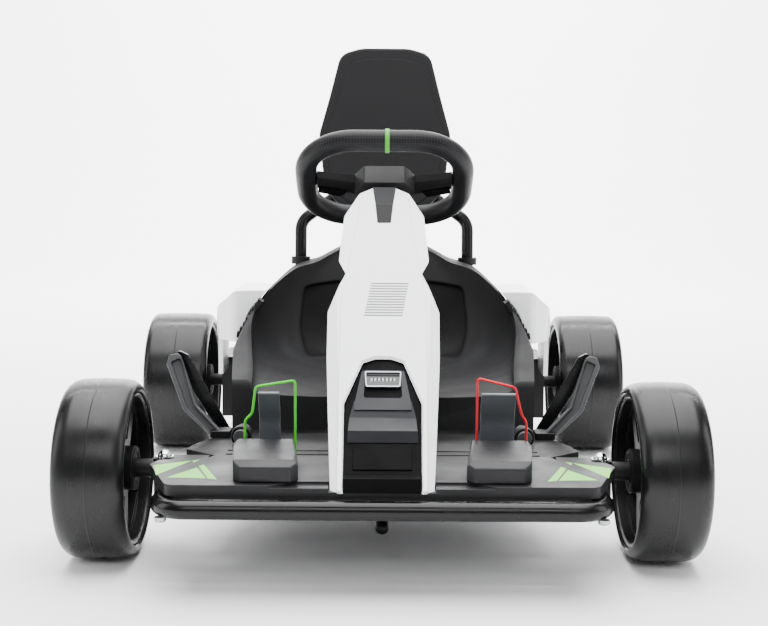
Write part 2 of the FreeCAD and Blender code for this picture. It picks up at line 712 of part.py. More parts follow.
def rear_bumper():
    """Tube behind the wheels from plate to plate, with a flag socket and a hitch tab."""
    plate_back = float(rear_axle + s.motor_radius + 8 - s.seat_gap) + 0.6
    line = float(rear_plate_face - s.rear_plate_thickness / 2)
    height = float(s.rear_tyre_radius)
    back = float(rear_bumper_line)
    radius = float(s.bumper_radius)
    run = [(line, plate_back), (line, back), (-line, back), (-line, plate_back)]
    solid = tube([(x, y, height) for x, y in run], radius, 50)
    socket_wall = 4
    bore = float(s.flag_bore)
    socket = Vector(line * 0.7, back - radius - bore + 2, height - radius)
    solid = solid.fuse(bar(socket, Vector(0, 0, 1), bore + socket_wall, 40))
    hole = float(s.hitch_bore)
    tab_thickness = 8
    tab_corner = (-hole * 2.5, back - radius - hole * 4)
    tab = Part.makeBox(hole * 5, hole * 4 + radius, tab_thickness,
                       Vector(tab_corner[0], tab_corner[1], height - tab_thickness / 2))
    solid = solid.fuse(tab).removeSplitter()
    solid = solid.cut(bar(socket - Vector(0, 0, 5), Vector(0, 0, 1), bore, 60))
    pin = Vector(0, back - radius - hole * 2, height - 20)
    feature("rear_bumper", solid.cut(bar(pin, Vector(0, 0, 1), hole, 40)))


def battery_box():
    """Battery case hung between the rails under the seat."""
    top = float(s.deck_bottom - s.seat_gap)
    half = float(s.battery_width) / 2
    low = top - float(s.battery_height)
    section = [(-half, top), (-half, low + 10, 8), (-half + 10, low, 8), (half - 10, low, 8),
               (half, low + 10, 8), (half, top)]
    feature("battery_box", prism("front", section, battery_front, battery_back))


# Deck, floor, pedals


def front_deck():
    """Plate over the front end, cut back beside the wheels and open for the shaft and the nose."""
    half = float(kingpin_x)
    front = float(deck_front)
    axle = float(front_axle)
    toe = float(s.nose_width) / 2 + 5
    right_half = [
        (half - 26, front, 14), (half + 9, axle - 52, 6), (half + 2, axle - 30, 6),
        (half - 52, axle - 24, 8), (half - 62, float(deck_back), 4),
    ]
    plate = prism("plan", mirrored_corners(right_half), s.deck_bottom, deck_top)
    recess = prism("plan", mirrored_corners([(half * 0.48, front - 1), (half * 0.37, front + 20)]),
                   deck_top - s.deck_recess, deck_top + 1)
    sill = prism("plan", mirrored_corners([(toe, front - 1), (toe, front + 30, 3)]),
                 s.nose_toe - s.seat_gap, deck_top + 1)
    feature("front_deck", plate.cut(recess).cut(sill).cut(shaft_opening()))


def shaft_opening():
    """Round way through deck and floor for the turning shaft."""
    foot = on_shaft(s.crank_height)
    return bar(foot, shaft_up, s.shaft_radius + s.moving_gap, 60)


def floor_pan():
    """Floor from the deck to the seat with a pointed wing on each side."""
    front = float(deck_back) + float(s.seat_gap)
    back = float(seat_front) - float(s.seat_gap)
    side = float(s.floor_half)
    tip = side + float(s.wing_reach)
    length = back - front
    right_half = [(side, front), (side + 2, front + length * 0.11), (tip, front + length * 0.3, 4),
                  (tip - 7, front + length * 0.45, 6), (side + 18, front + length * 0.69, 8), (side, back)]
    plate = prism("plan", mirrored_corners(right_half), s.deck_bottom, floor_top)
    feature("floor_pan", plate.cut(shaft_opening()))


def pedal_boxes():
    """Low moulded housing in front of each pedal, set outward to the rear, with bevelled edges."""
    near = float(s.pedal_spread - s.pedal_box_width) / 2
    far = near + float(s.pedal_box_width)
    skew = float(s.pedal_box_skew)
    low = float(deck_top + s.seat_gap)
    high = low + float(s.pedal_box_height)
    front = float(deck_front) + 10
    back = guard_line() - float(s.guard_rod_radius) - 2
    plan = [(near, front + 8), (near + 8, front), (far - 8, front), (far, front + 8),
            (far + skew, back), (near + skew, back)]
    side = [(front - 1, low), (front - 1, high - 7), (front + 12, high, 4), (back, high), (back, low)]
    face = [(near, low), (near, high - 5), (near + 5, high), (far + skew - 6, high),
            (far + skew, high - 6), (far + skew, low)]
    body = prism("plan", plan, low, high).common(prism("side", side, 0, far * 2))
    feature("pedal_boxes", both_sides(body.common(prism("front", face, front - 1, back))))


def pedal(name, middle, width):
    """Curved strap that rises from the floor and leans forward."""
    foot = float(deck_back) + 12
    low = float(floor_top + s.seat_gap)
    high = low + float(s.pedal_height)
    thick = float(s.pedal_thickness)
    profile = [(foot, low), (foot + 22, low), (foot + 22, low + 5, 2), (foot + thick + 6, low + 14, 8),
               (foot + thick, low + 50, 30), (foot + thick - 18, high, 2), (foot - 18, high, 2),
               (foot, low + 48, 30)]
    half = width / 2
    feature(name, prism("side", profile, middle - half, middle + half))


def guard_line():
    """Place along the kart of the wire guards, in front of the pedals."""
    return float(deck_back) - 12


def guard(name, points):
    """Bent wire around a pedal, standing on the deck."""
    line = guard_line()
    foot = float(deck_top + s.seat_gap)
    run = [(points[0][0], line, foot)] + [(x, line, z) for x, z in points] + [(points[-1][0], line, foot)]
    feature(name, tube(run, float(s.guard_rod_radius), 5))


def pedals():
    """Both pedals with their wire guards; heights are above the ground."""
    middle = float(s.pedal_spread) / 2
    low = float(deck_top)
    pedal("throttle_pedal", -middle - 8, float(s.throttle_width))
    pedal("brake_pedal", middle + 10, float(s.brake_width))
    throttle_wire = [(-36, 46), (-27, 54), (-23, 87), (25, 95)]
    brake_wire = [(-17, 99), (29, 88), (37, 54), (43, 46)]
    guard("throttle_guard", [(x - middle, low + z) for x, z in throttle_wire])
    guard("brake_guard", [(x + middle, low + z) for x, z in brake_wire])


# Nose, column and steering

COLUMN_OUTLINE = [
    # half width over the foot's half width, height over the nose's whole height, corner radius
    (0.255, 1.000, 2), (0.600, 0.976, 4), (0.945, 0.889, 10), (1.036, 0.723, 6), (0.855, 0.675, 4),
    (1.109, 0.599, 6), (1.255, 0.542, 8), (1.236, 0.386, 30), (1.145, 0.181, 30),
]


def column_front():
    """Lower and upper end of the sloping front face, as places along the kart and heights."""
    return (float(bumper_front) + 7, float(s.nose_toe)), (float(front_axle) + 170, float(s.column_top))


def column_side(inset):
    """Side view of the nose and column, drawn in by an inset."""
    (toe_y, toe_z), (tip_y, tip_z) = column_front()
    slope = math.atan2(tip_z - toe_z, tip_y - toe_y)
    shift = inset / math.sin(slope)
    back = float(front_axle) + 84 - inset
    low = float(deck_top + s.seat_gap) if inset == 0 else float(deck_top) - 30
    rear_top = (float(hub_centre.y) - 6 - inset, tip_z - 24 - inset)
    notch = float(deck_front) + 26
    foot = [(toe_y + shift, toe_z), (notch, toe_z), (notch, low)] if inset == 0 else [(toe_y + shift, low)]
    tip = (tip_y + shift - inset / math.tan(slope), tip_z - inset)
    return foot + [(back, low), rear_top, tip]


def column_outline(inset):
    """Front view of the nose and column, drawn in by an inset."""
    half_foot = float(s.nose_width) / 2
    toe = float(s.nose_toe)
    rise = float(s.column_top) - toe
    corners = []
    for across, up, radius in COLUMN_OUTLINE:
        lower = inset if up > 0.95 else 0
        corners.append((half_foot * across - inset, toe + rise * up - lower, radius))
    return mirrored_corners(corners + [(half_foot - inset, toe - 40)])


def flank_wedge(side, inset):
    """Block whose one face runs back from a crease line on the sloping face, drawn in by an inset."""
    half_foot = float(s.nose_width) / 2
    (toe_y, toe_z), (tip_y, tip_z) = column_front()
    low = Vector(half_foot * 0.84, toe_y, toe_z)
    rise = 0.6
    high = Vector(half_foot * 1.06, toe_y + (tip_y - toe_y) * rise, toe_z + (tip_z - toe_z) * rise)
    along = (high - low).normalize()
    outward = Vector(0, -(tip_z - toe_z), tip_y - toe_y).normalize()
    across = outward.cross(along).normalize()
    if across.x < 0:
        across = across * -1
    turn = math.radians(float(s.flank_angle))
    back = across * math.cos(turn) - outward * math.sin(turn)
    away = across * math.sin(turn) + outward * math.cos(turn)
    start = low - along * 150 - away * inset
    corners = [start, start + back * 90, start + back * 90 + away * 60, start + away * 60]
    wedge = Part.Face(Part.makePolygon(corners + corners[:1])).extrude(along * 800)
    return wedge if side > 0 else other_side(wedge)


def nose_form(inset):
    """Solid inside the moulding's surface, drawn in by an inset."""
    front = float(bumper_front) - 20
    rear = float(hub_centre.y) + 20
    solid = prism("front", column_outline(inset), front, rear)
    solid = solid.common(prism("side", column_side(inset), -100, 100))
    for side_name, side in SIDES:
        solid = solid.cut(flank_wedge(side, inset))
    return biggest(solid)


def nose_fairing():
    """Hollow moulding that rises from the deck and covers the steering column."""
    front = float(bumper_front) - 20
    width = 100
    way_out = bar(on_shaft(s.jacket_top), shaft_up, s.shaft_radius + s.moving_gap, 120)
    shell = nose_form(0).cut(nose_form(float(s.nose_wall))).cut(way_out)
    insert_hole = prism("front", insert_outline(float(s.seat_gap)), front, float(front_axle))
    channel_hole = prism("front", channel_outline(float(s.seat_gap)), front, float(front_axle) + 190)
    shell = shell.cut(insert_hole.common(prism("side", face_band(-9, 30), -width, width)))
    shell = shell.cut(channel_hole.common(prism("side", face_band(-3.3, 30), -width, width)))
    feature("nose_fairing", biggest(shell))


def biggest(shape):
    """Largest solid of a shape that may hold slivers."""
    return max(shape.Solids, key=lambda solid: solid.Volume)


def face_band(depth, proud):
    """Side view of a band along the sloping face, from a depth under it to a height over it."""
    (toe_y, toe_z), (tip_y, tip_z) = column_front()
    along = Vector(tip_y - toe_y, tip_z - toe_z, 0).normalize()
    outward = Vector(-along.y, along.x, 0)
    toe = Vector(toe_y, toe_z, 0) - along * 40
    tip = Vector(tip_y, tip_z, 0) + along * 40
    corners = [toe + outward * depth, toe + outward * proud, tip + outward * proud, tip + outward * depth]
    return [(corner.x, corner.y) for corner in corners]


INSERT_OUTLINE = [
    # share of the nose's half width, share of the nose's height over its lower edge, corner radius
    (0.16, 0.394, 10), (0.435, 0.381, 4), (0.82, 0.253, 4), (0.78, -0.12, 0),
]


def on_nose(shares, grow=0.0):
    """Front view from a table of shares of the nose, grown outward."""
    half_foot = float(s.nose_width) / 2
    toe = float(s.nose_toe)
    rise = float(s.column_top) - toe
    return mirrored_corners([(half_foot * across + grow, toe + rise * up + grow, radius)
                             for across, up, radius in shares])


def insert_outline(grow):
    """Front view of the dark panel in the nose."""
    return on_nose(INSERT_OUTLINE, grow)


def channel_outline(grow):
    """Front view of the grey channel between the tips of the column."""
    return mirrored_corners([(11 + grow, 470), (6 + grow, 402 - grow, 2)])


FRAME_OUTLINE = [
    # raised frame around the lamp, in shares of the nose
    (0.455, 0.358, 3), (0.60, 0.259, 0), (0.60, 0.24, 0),
]
LAMP_WELL = [
    # recess in that frame
    (0.38, 0.344, 3), (0.41, 0.275, 3),
]
STEP_OUTLINE = [
    # stepped body under the frame
    (0.56, 0.30, 0), (0.62, 0.259, 3), (0.70, 0.215, 6), (0.735, 0.16, 4), (0.735, 0.12, 2),
]
STEP_SIDE = [
    # side view of the stepped body: share of the nose's height, height over the sloping face
    (0.262, -6), (0.262, 2), (0.215, -1.5), (0.168, 6), (0.145, -2), (0.145, -8), (0.2, -8),
]
LAMP_SEAT = -1  # bottom of that recess over the sloping face
LAMP_OUTLINE = [
    # lamp, in shares of the nose
    (0.335, 0.338, 2), (0.37, 0.301, 2),
]


def on_slope(shares):
    """Side view from a table of shares of the nose's height and heights over its sloping face."""
    (toe_y, toe_z), (tip_y, tip_z) = column_front()
    along = Vector(tip_y - toe_y, tip_z - toe_z, 0)
    outward = Vector(-along.y, along.x, 0).normalize()
    places = [Vector(toe_y, toe_z, 0) + along * share + outward * proud for share, proud in shares]
    return [(place.x, place.y) for place in places]


def nose_insert():
    """Dark panel seated in the nose: a frame for the lamp, a stepped body, a recess and a sill."""
    front = float(bumper_front) - 20
    rear = float(front_axle)
    width = 100
    gap = float(s.seat_gap)
    half_foot = float(s.nose_width) / 2
    (toe_y, toe_z), _ = column_front()
    base = prism("front", insert_outline(0), front, rear)
    base = base.common(prism("side", face_band(-9 + gap, -3), -width, width))
    frame = prism("front", on_nose(FRAME_OUTLINE), front, rear)
    frame = frame.common(prism("side", face_band(-5, 2), -width, width))
    steps = prism("front", on_nose(STEP_OUTLINE), front, rear)
    steps = steps.common(prism("side", on_slope(STEP_SIDE), -width, width))
    lamp_well = prism("front", on_nose(LAMP_WELL), front, rear)
    lamp_well = lamp_well.common(prism("side", face_band(LAMP_SEAT, 30), -width, width))
    sill_top = toe_z + 17
    sill_side = [(toe_y + 1, toe_z), (toe_y + 1, sill_top, 2), (toe_y + 23, sill_top), (toe_y + 23, toe_z)]
    sill = prism("side", sill_side, -half_foot * 0.77, half_foot * 0.77)
    sill = sill.common(prism("side", face_band(-9 + gap, 30), -width, width))
    toe = Part.makeBox(width * 2, 200, 100, Vector(-width, front - 100, toe_z - 100))
    panel = base.fuse([frame, steps]).cut(lamp_well).fuse(sill).cut(toe).removeSplitter()
    feature("nose_insert", biggest(panel))


def headlamp():
    """Lamp in a bright frame, seated in the well of the nose panel."""
    front = float(bumper_front) - 20
    lens = prism("front", on_nose(LAMP_OUTLINE), front, float(front_axle))
    lens = lens.common(prism("side", face_band(LAMP_SEAT + float(s.seat_gap), 4), -100, 100))
    feature("headlamp", lens)


def column_channel():
    """Grey strip let into the top of the column."""
    front = float(bumper_front) - 20
    strip = prism("front", channel_outline(0), front, float(front_axle) + 190)
    strip = strip.common(prism("side", face_band(-3, -0.5), -100, 100))
    cap = Part.makeBox(200, 600, 100, Vector(-100, -600, float(s.column_top) - 4))
    feature("column_channel", biggest(strip.cut(cap)))


def steering_column():
    """Fixed tube around the shaft, on a block that stands on the deck."""
    foot = on_shaft(deck_top + 14)
    top = on_shaft(s.jacket_top)
    outer = float(s.shaft_radius + s.running_gap + s.jacket_wall)
    jacket = bar(foot, shaft_up, outer, (top - foot).Length)
    low = float(deck_top + s.seat_gap)
    half = outer + 8
    base = Part.makeBox(half * 2, 66, 34, Vector(-half, foot.y - 46, low))
    solid = jacket.fuse(base).removeSplitter()
    bore = bar(on_shaft(s.crank_height), shaft_up, float(s.shaft_radius + s.running_gap), 500)
    feature("steering_column", biggest(solid.cut(bore)))


def steering_shaft():
    """Shaft with a crank at its foot, whose pin goes down through the track rod's slot."""
    foot = on_shaft(s.crank_height)
    half_crank = float(s.crank_thickness) / 2
    top = hub_centre - shaft_up * (float(s.hub_thickness) + float(s.seat_gap))
    start = foot - shaft_up * half_crank
    shaft = bar(start, shaft_up, s.shaft_radius, (top - start).Length)
    pin_root = crank_foot()
    width = float(s.crank_width) / 2
    rod_radius = float(s.rod_pin_radius)
    crank = bar(start, shaft_up, width, half_crank * 2)
    crank = crank.fuse(bar(pin_root - shaft_up * half_crank, shaft_up, width, half_crank * 2))
    web = Part.makeBox(width * 2, crank_radius, half_crank * 2, Vector(-width, 0, 0))
    web.Placement = Placement(start, Rotation(Vector(1, 0, 0), -wheel_up, shaft_up, "XYZ"))
    sleeve_top = pin_root + shaft_up * ((float(s.sleeve_top) - pin_root.z) / shaft_up.z)
    tip_centre = pin_root + shaft_up * ((float(s.sleeve_tip) + width - pin_root.z) / shaft_up.z)
    pin = bar(sleeve_top, shaft_up, rod_radius, (pin_root - sleeve_top).Length)
    sleeve = bar(tip_centre, shaft_up, width, (sleeve_top - tip_centre).Length)
    ball = Part.makeSphere(width, tip_centre)
    feature("steering_shaft", shaft.fuse([crank, web, pin, sleeve, ball]).removeSplitter())


WHEEL_FRAME = Placement(hub_centre, Rotation(Vector(-1, 0, 0), wheel_up, shaft_up, "XYZ"))


def steering_rim():
    """Closed grip with a flat top and bottom and wide corners, in the wheel's own plane."""
    across = float(s.rim_half_width)
    along = float(s.rim_half_height)
    corners = [(across, along), (across, -along), (-across, -along), (-across, along)]
    points = [Vector(0, along, 0)] + [Vector(x, y, 0) for x, y in corners]
    path = rounded(points, [0, 70, 62, 62, 70], True)
    ring = Part.Wire(Part.makeCircle(float(s.rim_tube_radius), Vector(0, along, 0), Vector(1, 0, 0)))
    grip = path.makePipeShell([ring], True, True)
    grip.Placement = WHEEL_FRAME
    feature("steering_rim", grip)


def rim_band():
    """Coloured band round the grip at its top."""
    half = float(s.band_width) / 2
    tube_radius = float(s.rim_tube_radius)
    foot = Vector(-half, float(s.rim_half_height), 0)
    ring = bar(foot, Vector(1, 0, 0), tube_radius + 1.2, half * 2)
    ring = ring.cut(bar(foot, Vector(1, 0, 0), tube_radius + float(s.seat_gap) / 3, half * 2))
    ring.Placement = WHEEL_FRAME
    feature("rim_band", ring)


def steering_hub():
    """Boss with a six-sided front and two flat spokes that reach the grip."""
    half = float(s.hub_width) / 2
    thick = float(s.hub_thickness)
    reach = float(s.rim_half_width - s.rim_tube_radius - s.seat_gap)
    face = 4
    boss = prism("plan", mirrored_corners([(half * 0.61, 26, 4), (half * 0.91, 6, 6), (half * 0.72, -24, 6)]),
                 -thick, face)
    spokes = prism("plan", mirrored_corners([(half * 0.6, 4), (reach, 17), (reach, -8), (half * 0.8, -22, 6)]),
                   face - 14, face - 2)
    hub = boss.fuse(spokes).removeSplitter()
    hub.Placement = WHEEL_FRAME
    feature("steering_hub", hub)


# Seat


ARCH_OUTLINE = [
    # share of the half width, share of the height over the floor's underside, corner radius
    (0.24, 1.0, 36), (0.43, 0.893, 20), (0.63, 0.858, 60), (0.91, 0.578, 70), (1.0, 0.1, 60),
]


def seat_arch(inset):
    """Front view of the bucket: a raised neck, round shoulders and sides that run out downward."""
    half = float(seat_half) - inset
    low = float(s.deck_bottom)
    height = float(s.seat_height) - inset - low
    corners = [(half * share, low + height * up, radius) for share, up, radius in ARCH_OUTLINE]
    return mirrored_corners(corners + [(half, low)])


def seat_plan():
    """Plan of the bucket, narrower at its front."""
    half = float(seat_half)
    front = float(seat_front)
    back = float(seat_back_line)
    narrow = half - float(s.seat_taper)
    widest = front + float(s.seat_depth) * 0.6
    return mirrored_corners([(narrow, front - 20), (half, widest, 120), (half, back + 20)])


BOWL = [
    # share of the bucket's depth, share of the hollow's half width, then how far its middle line and
    # the crest of its wall lie on the way from the cushion's front edge to the bucket's top
    (-0.043, 0.882, 0.0, 0.092), (0.150, 0.912, 0.0, 0.181), (0.323, 0.961, -0.013, 0.281),
    (0.473, 0.995, -0.029, 0.428), (0.602, 0.966, -0.039, 0.559), (0.688, 0.882, -0.018, 0.654),
    (0.753, 0.794, 0.055, 0.732), (0.796, 0.711, 0.234, 0.790), (0.830, 0.593, 0.507, 0.842),
    (0.860, 0.480, 0.732, 0.900), (0.886, 0.348, 0.906, 0.958), (0.912, 0.196, 1.010, 1.040),
]
BOWL_SQUARENESS = 0.62
BOWL_STEPS = 9


def bowl_section(along, across, middle, crest):
    """Closed section of the hollow across the kart: flat in its middle, steep at its walls."""
    place = float(seat_front + s.seat_depth * along)
    half = float((seat_half - s.seat_side_rim) * across)
    cushion = s.deck_bottom + s.cushion_height
    rise = s.seat_height - cushion
    bottom = float(cushion + rise * middle)
    brim = float(cushion + rise * crest)
    top = float(s.seat_height) + 60
    right = []
    for step in range(BOWL_STEPS):
        turn = math.pi / 2 * step / (BOWL_STEPS - 1)
        out = math.sin(turn) ** BOWL_SQUARENESS
        up = 1 - max(math.cos(turn), 0.0) ** BOWL_SQUARENESS
        right.append(Vector(half * out, place, bottom + (brim - bottom) * up))
    left = [Vector(-point.x, point.y, point.z) for point in reversed(right[1:])]
    curve = Part.BSplineCurve()
    curve.interpolate(left + right)
    corners = [right[-1], Vector(half, place, top), Vector(-half, place, top), left[0]]
    return Part.Wire([curve.toShape(), Part.makePolygon(corners)])


def seat_hollow():
    """Bowl that the driver sits in, smooth through its sections."""
    return Part.makeLoft([bowl_section(*row) for row in BOWL], True)


def seat_bucket():
    """Moulded tub: an arch seen from the front, hollowed for the driver, open under its rear."""
    front = float(seat_front)
    back = float(seat_back_line)
    low = float(s.deck_bottom)
    top = float(s.seat_height)
    bolster = low + float(s.bolster_height)
    wide = float(seat_half) + 5
    motor_top = float(s.rear_tyre_radius + s.motor_radius + 8 + s.seat_gap)
    under = float(rear_axle - s.motor_radius - s.rear_beam) - 12
    side = [(front, low), (front, bolster - 8, 6), (front + 14, bolster, 12),
            (front + 190, bolster + 40, 120), (back - 66, top + 8, 40), (back, top + 8, 6),
            (back, motor_top), (under, motor_top, 12), (under, low)]
    tub = prism("side", side, -wide, wide).common(prism("front", seat_arch(0), front - 5, back + 5))
    tub = tub.common(prism("plan", seat_plan(), low - 1, top + 20))
    hollow = seat_hollow()
    recess = hollow.copy()
    recess.translate(Vector(0, float(s.panel_depth), 0))
    recess = recess.common(prism("front", panel_outline(), front + 200, back))
    feature("seat_bucket", biggest(tub.cut(hollow).cut(recess).cut(hoop_sockets())))


def panel_outline():
    """Front view of the recessed panel in the bucket's back, behind the driver's hips."""
    half = float(seat_half) * 0.59
    low = float(s.deck_bottom + s.cushion_height) + 8
    top = float(s.seat_height) - 62
    return mirrored_corners([(half * 0.6, top, 40), (half * 0.94, top - 6, 16), (half, low + 40, 60),
                             (half * 0.9, low, 16)])


def hoop_run():
    """Middle line of the hoop, leaning to the rear above its feet."""
    foot_x = float(s.hoop_spread) / 2
    neck_x = float(s.hoop_neck) / 2
    line = float(hoop_line)
    knee = float(hoop_knee)
    shoulder = float(back_bottom) - 16
    neck = float(back_bottom) + 40
    top = float(back_top) - 90
    lean = math.tan(math.radians(float(s.back_lean)))
    right = [(foot_x, line, float(collar_foot - s.hoop_depth)), (foot_x, line, knee)]
    for x, height in ((foot_x, shoulder), (neck_x, neck), (neck_x, top)):
        right.append((x, line + (height - knee) * lean, height))
    left = [(-x, y, z) for x, y, z in reversed(right)]
    return right + left


def hoop_foot(level):
    """Middle of the hoop's foot on the driver's left at a height above the ground."""
    return Vector(float(s.hoop_spread) / 2, float(hoop_line), float(level))


def hoop_sockets():
    """Ways down into the bucket for the hoop's feet and for their collars."""
    up = Vector(0, 0, 1)
    way = bar(hoop_foot(collar_foot - s.hoop_depth - s.seat_gap), up, s.hoop_radius + s.seat_gap, 100)
    seat = bar(hoop_foot(collar_foot - s.seat_gap), up,
               s.hoop_radius + s.collar_wall + s.seat_gap * 2, 60)
    return both_sides(way.fuse(seat))


def seat_hoop():
    """Tube hoop that stands in the bucket's shoulders and carries the backrest."""
    feature("seat_hoop", tube(hoop_run(), float(s.hoop_radius), 30))


def hoop_collars():
    """Collars around the hoop's feet."""
    up = Vector(0, 0, 1)
    inner = s.hoop_radius + s.seat_gap / 2
    ring = bar(hoop_foot(collar_foot), up, inner + s.collar_wall, s.collar_height)
    feature("hoop_collars", both_sides(ring.cut(bar(hoop_foot(collar_foot), up, inner, s.collar_height))))


BACK_OUTLINE = [
    # share of the half width, share of the height from the lower edge, corner radius
    (0.60, 0.0, 14), (0.90, 0.13, 50), (1.0, 0.46, 50), (0.84, 0.70, 90), (0.68, 0.962, 26),
    (0.36, 1.0, 60),
]


def seat_back():
    """Backrest shield in front of the hoop, leaning with it."""
    half = float(s.back_width) / 2
    height = float(s.back_height)
    lean = float(s.back_lean)
    corners = mirrored_corners([(half * share, height * up, radius) for share, up, radius in BACK_OUTLINE])
    thick = float(s.back_thickness)
    panel = prism("front", corners, -thick, 0)
    knee = float(hoop_knee)
    line = float(hoop_line) + (float(back_bottom) - knee) * math.tan(math.radians(lean))
    front = line - float(s.hoop_radius) - float(s.seat_gap) * 3
    leaning = Rotation(Vector(1, 0, 0), -lean) * VIEWS["front"]
    panel.Placement = Placement(Vector(0, front, float(back_bottom)), leaning)
    feature("seat_back", panel)


# Sides


POD_SECTION = [
    # millimetres out from the bucket's side, share of the pod's height, corner radius
    (-58, -0.02, 0), (-58, 0.976, 4), (-30, 1.0, 8), (-3, 1.0, 10), (12, 0.837, 10), (30, 0.663, 10),
    (31, 0.163, 6), (26, 0.07, 3), (2, 0.047, 3),
]
POD_PLAN = [
    # millimetres out from the bucket's side, share of the pod's length, corner radius
    (-68, 0.19, 0), (-2, 0.0, 14), (24, 0.15, 20), (42, 0.56, 30), (42, 1.0, 10), (-68, 1.0, 0),
]


def side_pod(side_name, side):
    """Moulded pod on the bucket's shoulder inside the rear wheel, with a skirt below."""
    length = float(s.pod_length)
    back = float(rear_axle - s.pod_setback)
    front = back - length
    half = float(seat_half)
    deck = float(s.deck_bottom)
    height = float(s.pod_depth)
    low = deck + float(s.pod_rise) - height
    reach = float(s.pod_reach) / 30
    section = [(half + out * reach, low + height * up, radius) for out, up, radius in POD_SECTION]
    plan = [(half + out * reach, front + length * along, radius) for out, along, radius in POD_PLAN]
    solid = prism("front", section, front, back).common(prism("plan", plan, 0, half * 2))
    skirt_back = float(rear_axle - s.motor_radius - s.rear_beam - s.seat_gap) - 8
    skirt_out = half + float(s.pod_reach) - 4
    skirt_in = skirt_out - float(s.skirt_thickness)
    skirt_low = deck + float(s.skirt_rise)
    skirt_top = low + height * 0.15
    skirt_outline = [(skirt_in, skirt_low), (skirt_in, skirt_top), (skirt_out, skirt_top),
                     (skirt_out, skirt_low)]
    skirt = prism("front", skirt_outline, front + length * 0.19, skirt_back)
    gap = -float(s.seat_gap)
    hull = prism("front", seat_arch(gap), front - 5, float(seat_back_line) + 5)
    solid = biggest(solid.fuse(skirt).removeSplitter().cut(hull))
    feature("side_pod_" + side_name, solid if side > 0 else other_side(solid))


GUARD_OUTLINE = [
    # share of the splay out from the floor's side, share of the height, corner radius
    (0.0, 0.0, 0), (0.24, 0.0, 0), (0.71, 0.32, 14), (1.0, 0.87, 6), (0.96, 0.98, 6), (0.80, 1.0, 6),
    (0.50, 0.375, 14),
]
GUARD_CHANNEL = [
    # the same for the hollow between the flanges
    (0.06, -0.01, 0), (0.18, -0.01, 0), (0.64, 0.33, 12), (0.93, 0.89, 3), (0.79, 0.94, 3), (0.55, 0.37, 12),
]
BRACE_OUTLINE = [
    # the same for the brace
    (0.0, 0.0, 0), (0.21, 0.0, 0), (0.95, 0.89, 4), (0.83, 0.98, 4), (0.69, 0.93, 4),
]


def guard_view(outline):
    """Front view of a side guard or its brace from a table of shares."""
    side = float(s.floor_half)
    low = float(floor_top + s.seat_gap)
    return [(side + float(s.guard_splay) * out, low + float(s.guard_height) * up, radius)
            for out, up, radius in outline]


def side_guards():
    """Bent flanged bar on each side of the floor, with a flat brace behind it."""
    low = float(floor_top + s.seat_gap)
    line = float(seat_front - s.guard_setback)
    depth = float(s.guard_depth)
    flange = depth * 0.4
    whole = prism("front", guard_view(GUARD_OUTLINE), line, line + depth)
    whole = whole.cut(prism("front", guard_view(GUARD_CHANNEL), line - 1, line + flange))
    turn = Rotation(Vector(1, 0, 0), -float(s.guard_lean))
    whole.Placement = Placement(Vector(0, 0, 0), turn, Vector(0, line, low)) * whole.Placement
    under = Part.makeBox(400, 400, 40, Vector(0, line - 200, low - 40))
    leaning = biggest(whole.cut(under))
    for side_name, side in SIDES:
        feature("side_guard_" + side_name, leaning if side > 0 else other_side(leaning))
    behind = leaning.BoundBox.YMax + float(s.seat_gap)
    brace = prism("front", guard_view(BRACE_OUTLINE), behind, behind + float(s.brace_thickness))
    feature("guard_struts", both_sides(brace))


wheels()
main_frame()
front_bumper()
front_axle_beam()
kingpins()
for side_label, side_sign in SIDES:
    knuckle(side_label, side_sign)
track_rod()
rear_axle_beam()
drive_motors()
rear_bumper()
battery_box()
front_deck()
floor_pan()
pedal_boxes()
pedals()
nose_fairing()
nose_insert()
headlamp()
column_channel()
steering_column()
steering_shaft()
steering_rim()
rim_band()
steering_hub()
seat_bucket()
seat_hoop()
hoop_collars()
seat_back()
for side_label, side_sign in SIDES:
    side_pod(side_label, side_sign)
side_guards()

doc.recompute()
faults = [item.Name for item in doc.Objects if "Invalid" in item.State or "Error" in item.State]
for item in sub_parts:
    if item.Shape.isNull() or not item.Shape.isValid():
        faults.append(item.Label)
if faults:
    raise RuntimeError("failed objects: " + ", ".join(faults))

os.makedirs("parts", exist_ok=True)
for item in sub_parts:
    item.Shape.exportStep(f"parts/{item.Label}.step")
print(len(sub_parts), "sub-parts")
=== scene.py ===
# %% [markdown]
# # An electric drift kart, dressed in Blender
# The CAD frame gives every piece its place in metres, with X to the driver's left, Y to the rear
# and Z up. This lesson keeps the CAD solids that already have the right shape and gives them a
# finish, and it makes new surfaces where a moulding has curves that the solids only suggest.

# %% Load the frame
import json
import math

import bmesh
import bpy
import numpy as np
from mathutils import Matrix, Vector


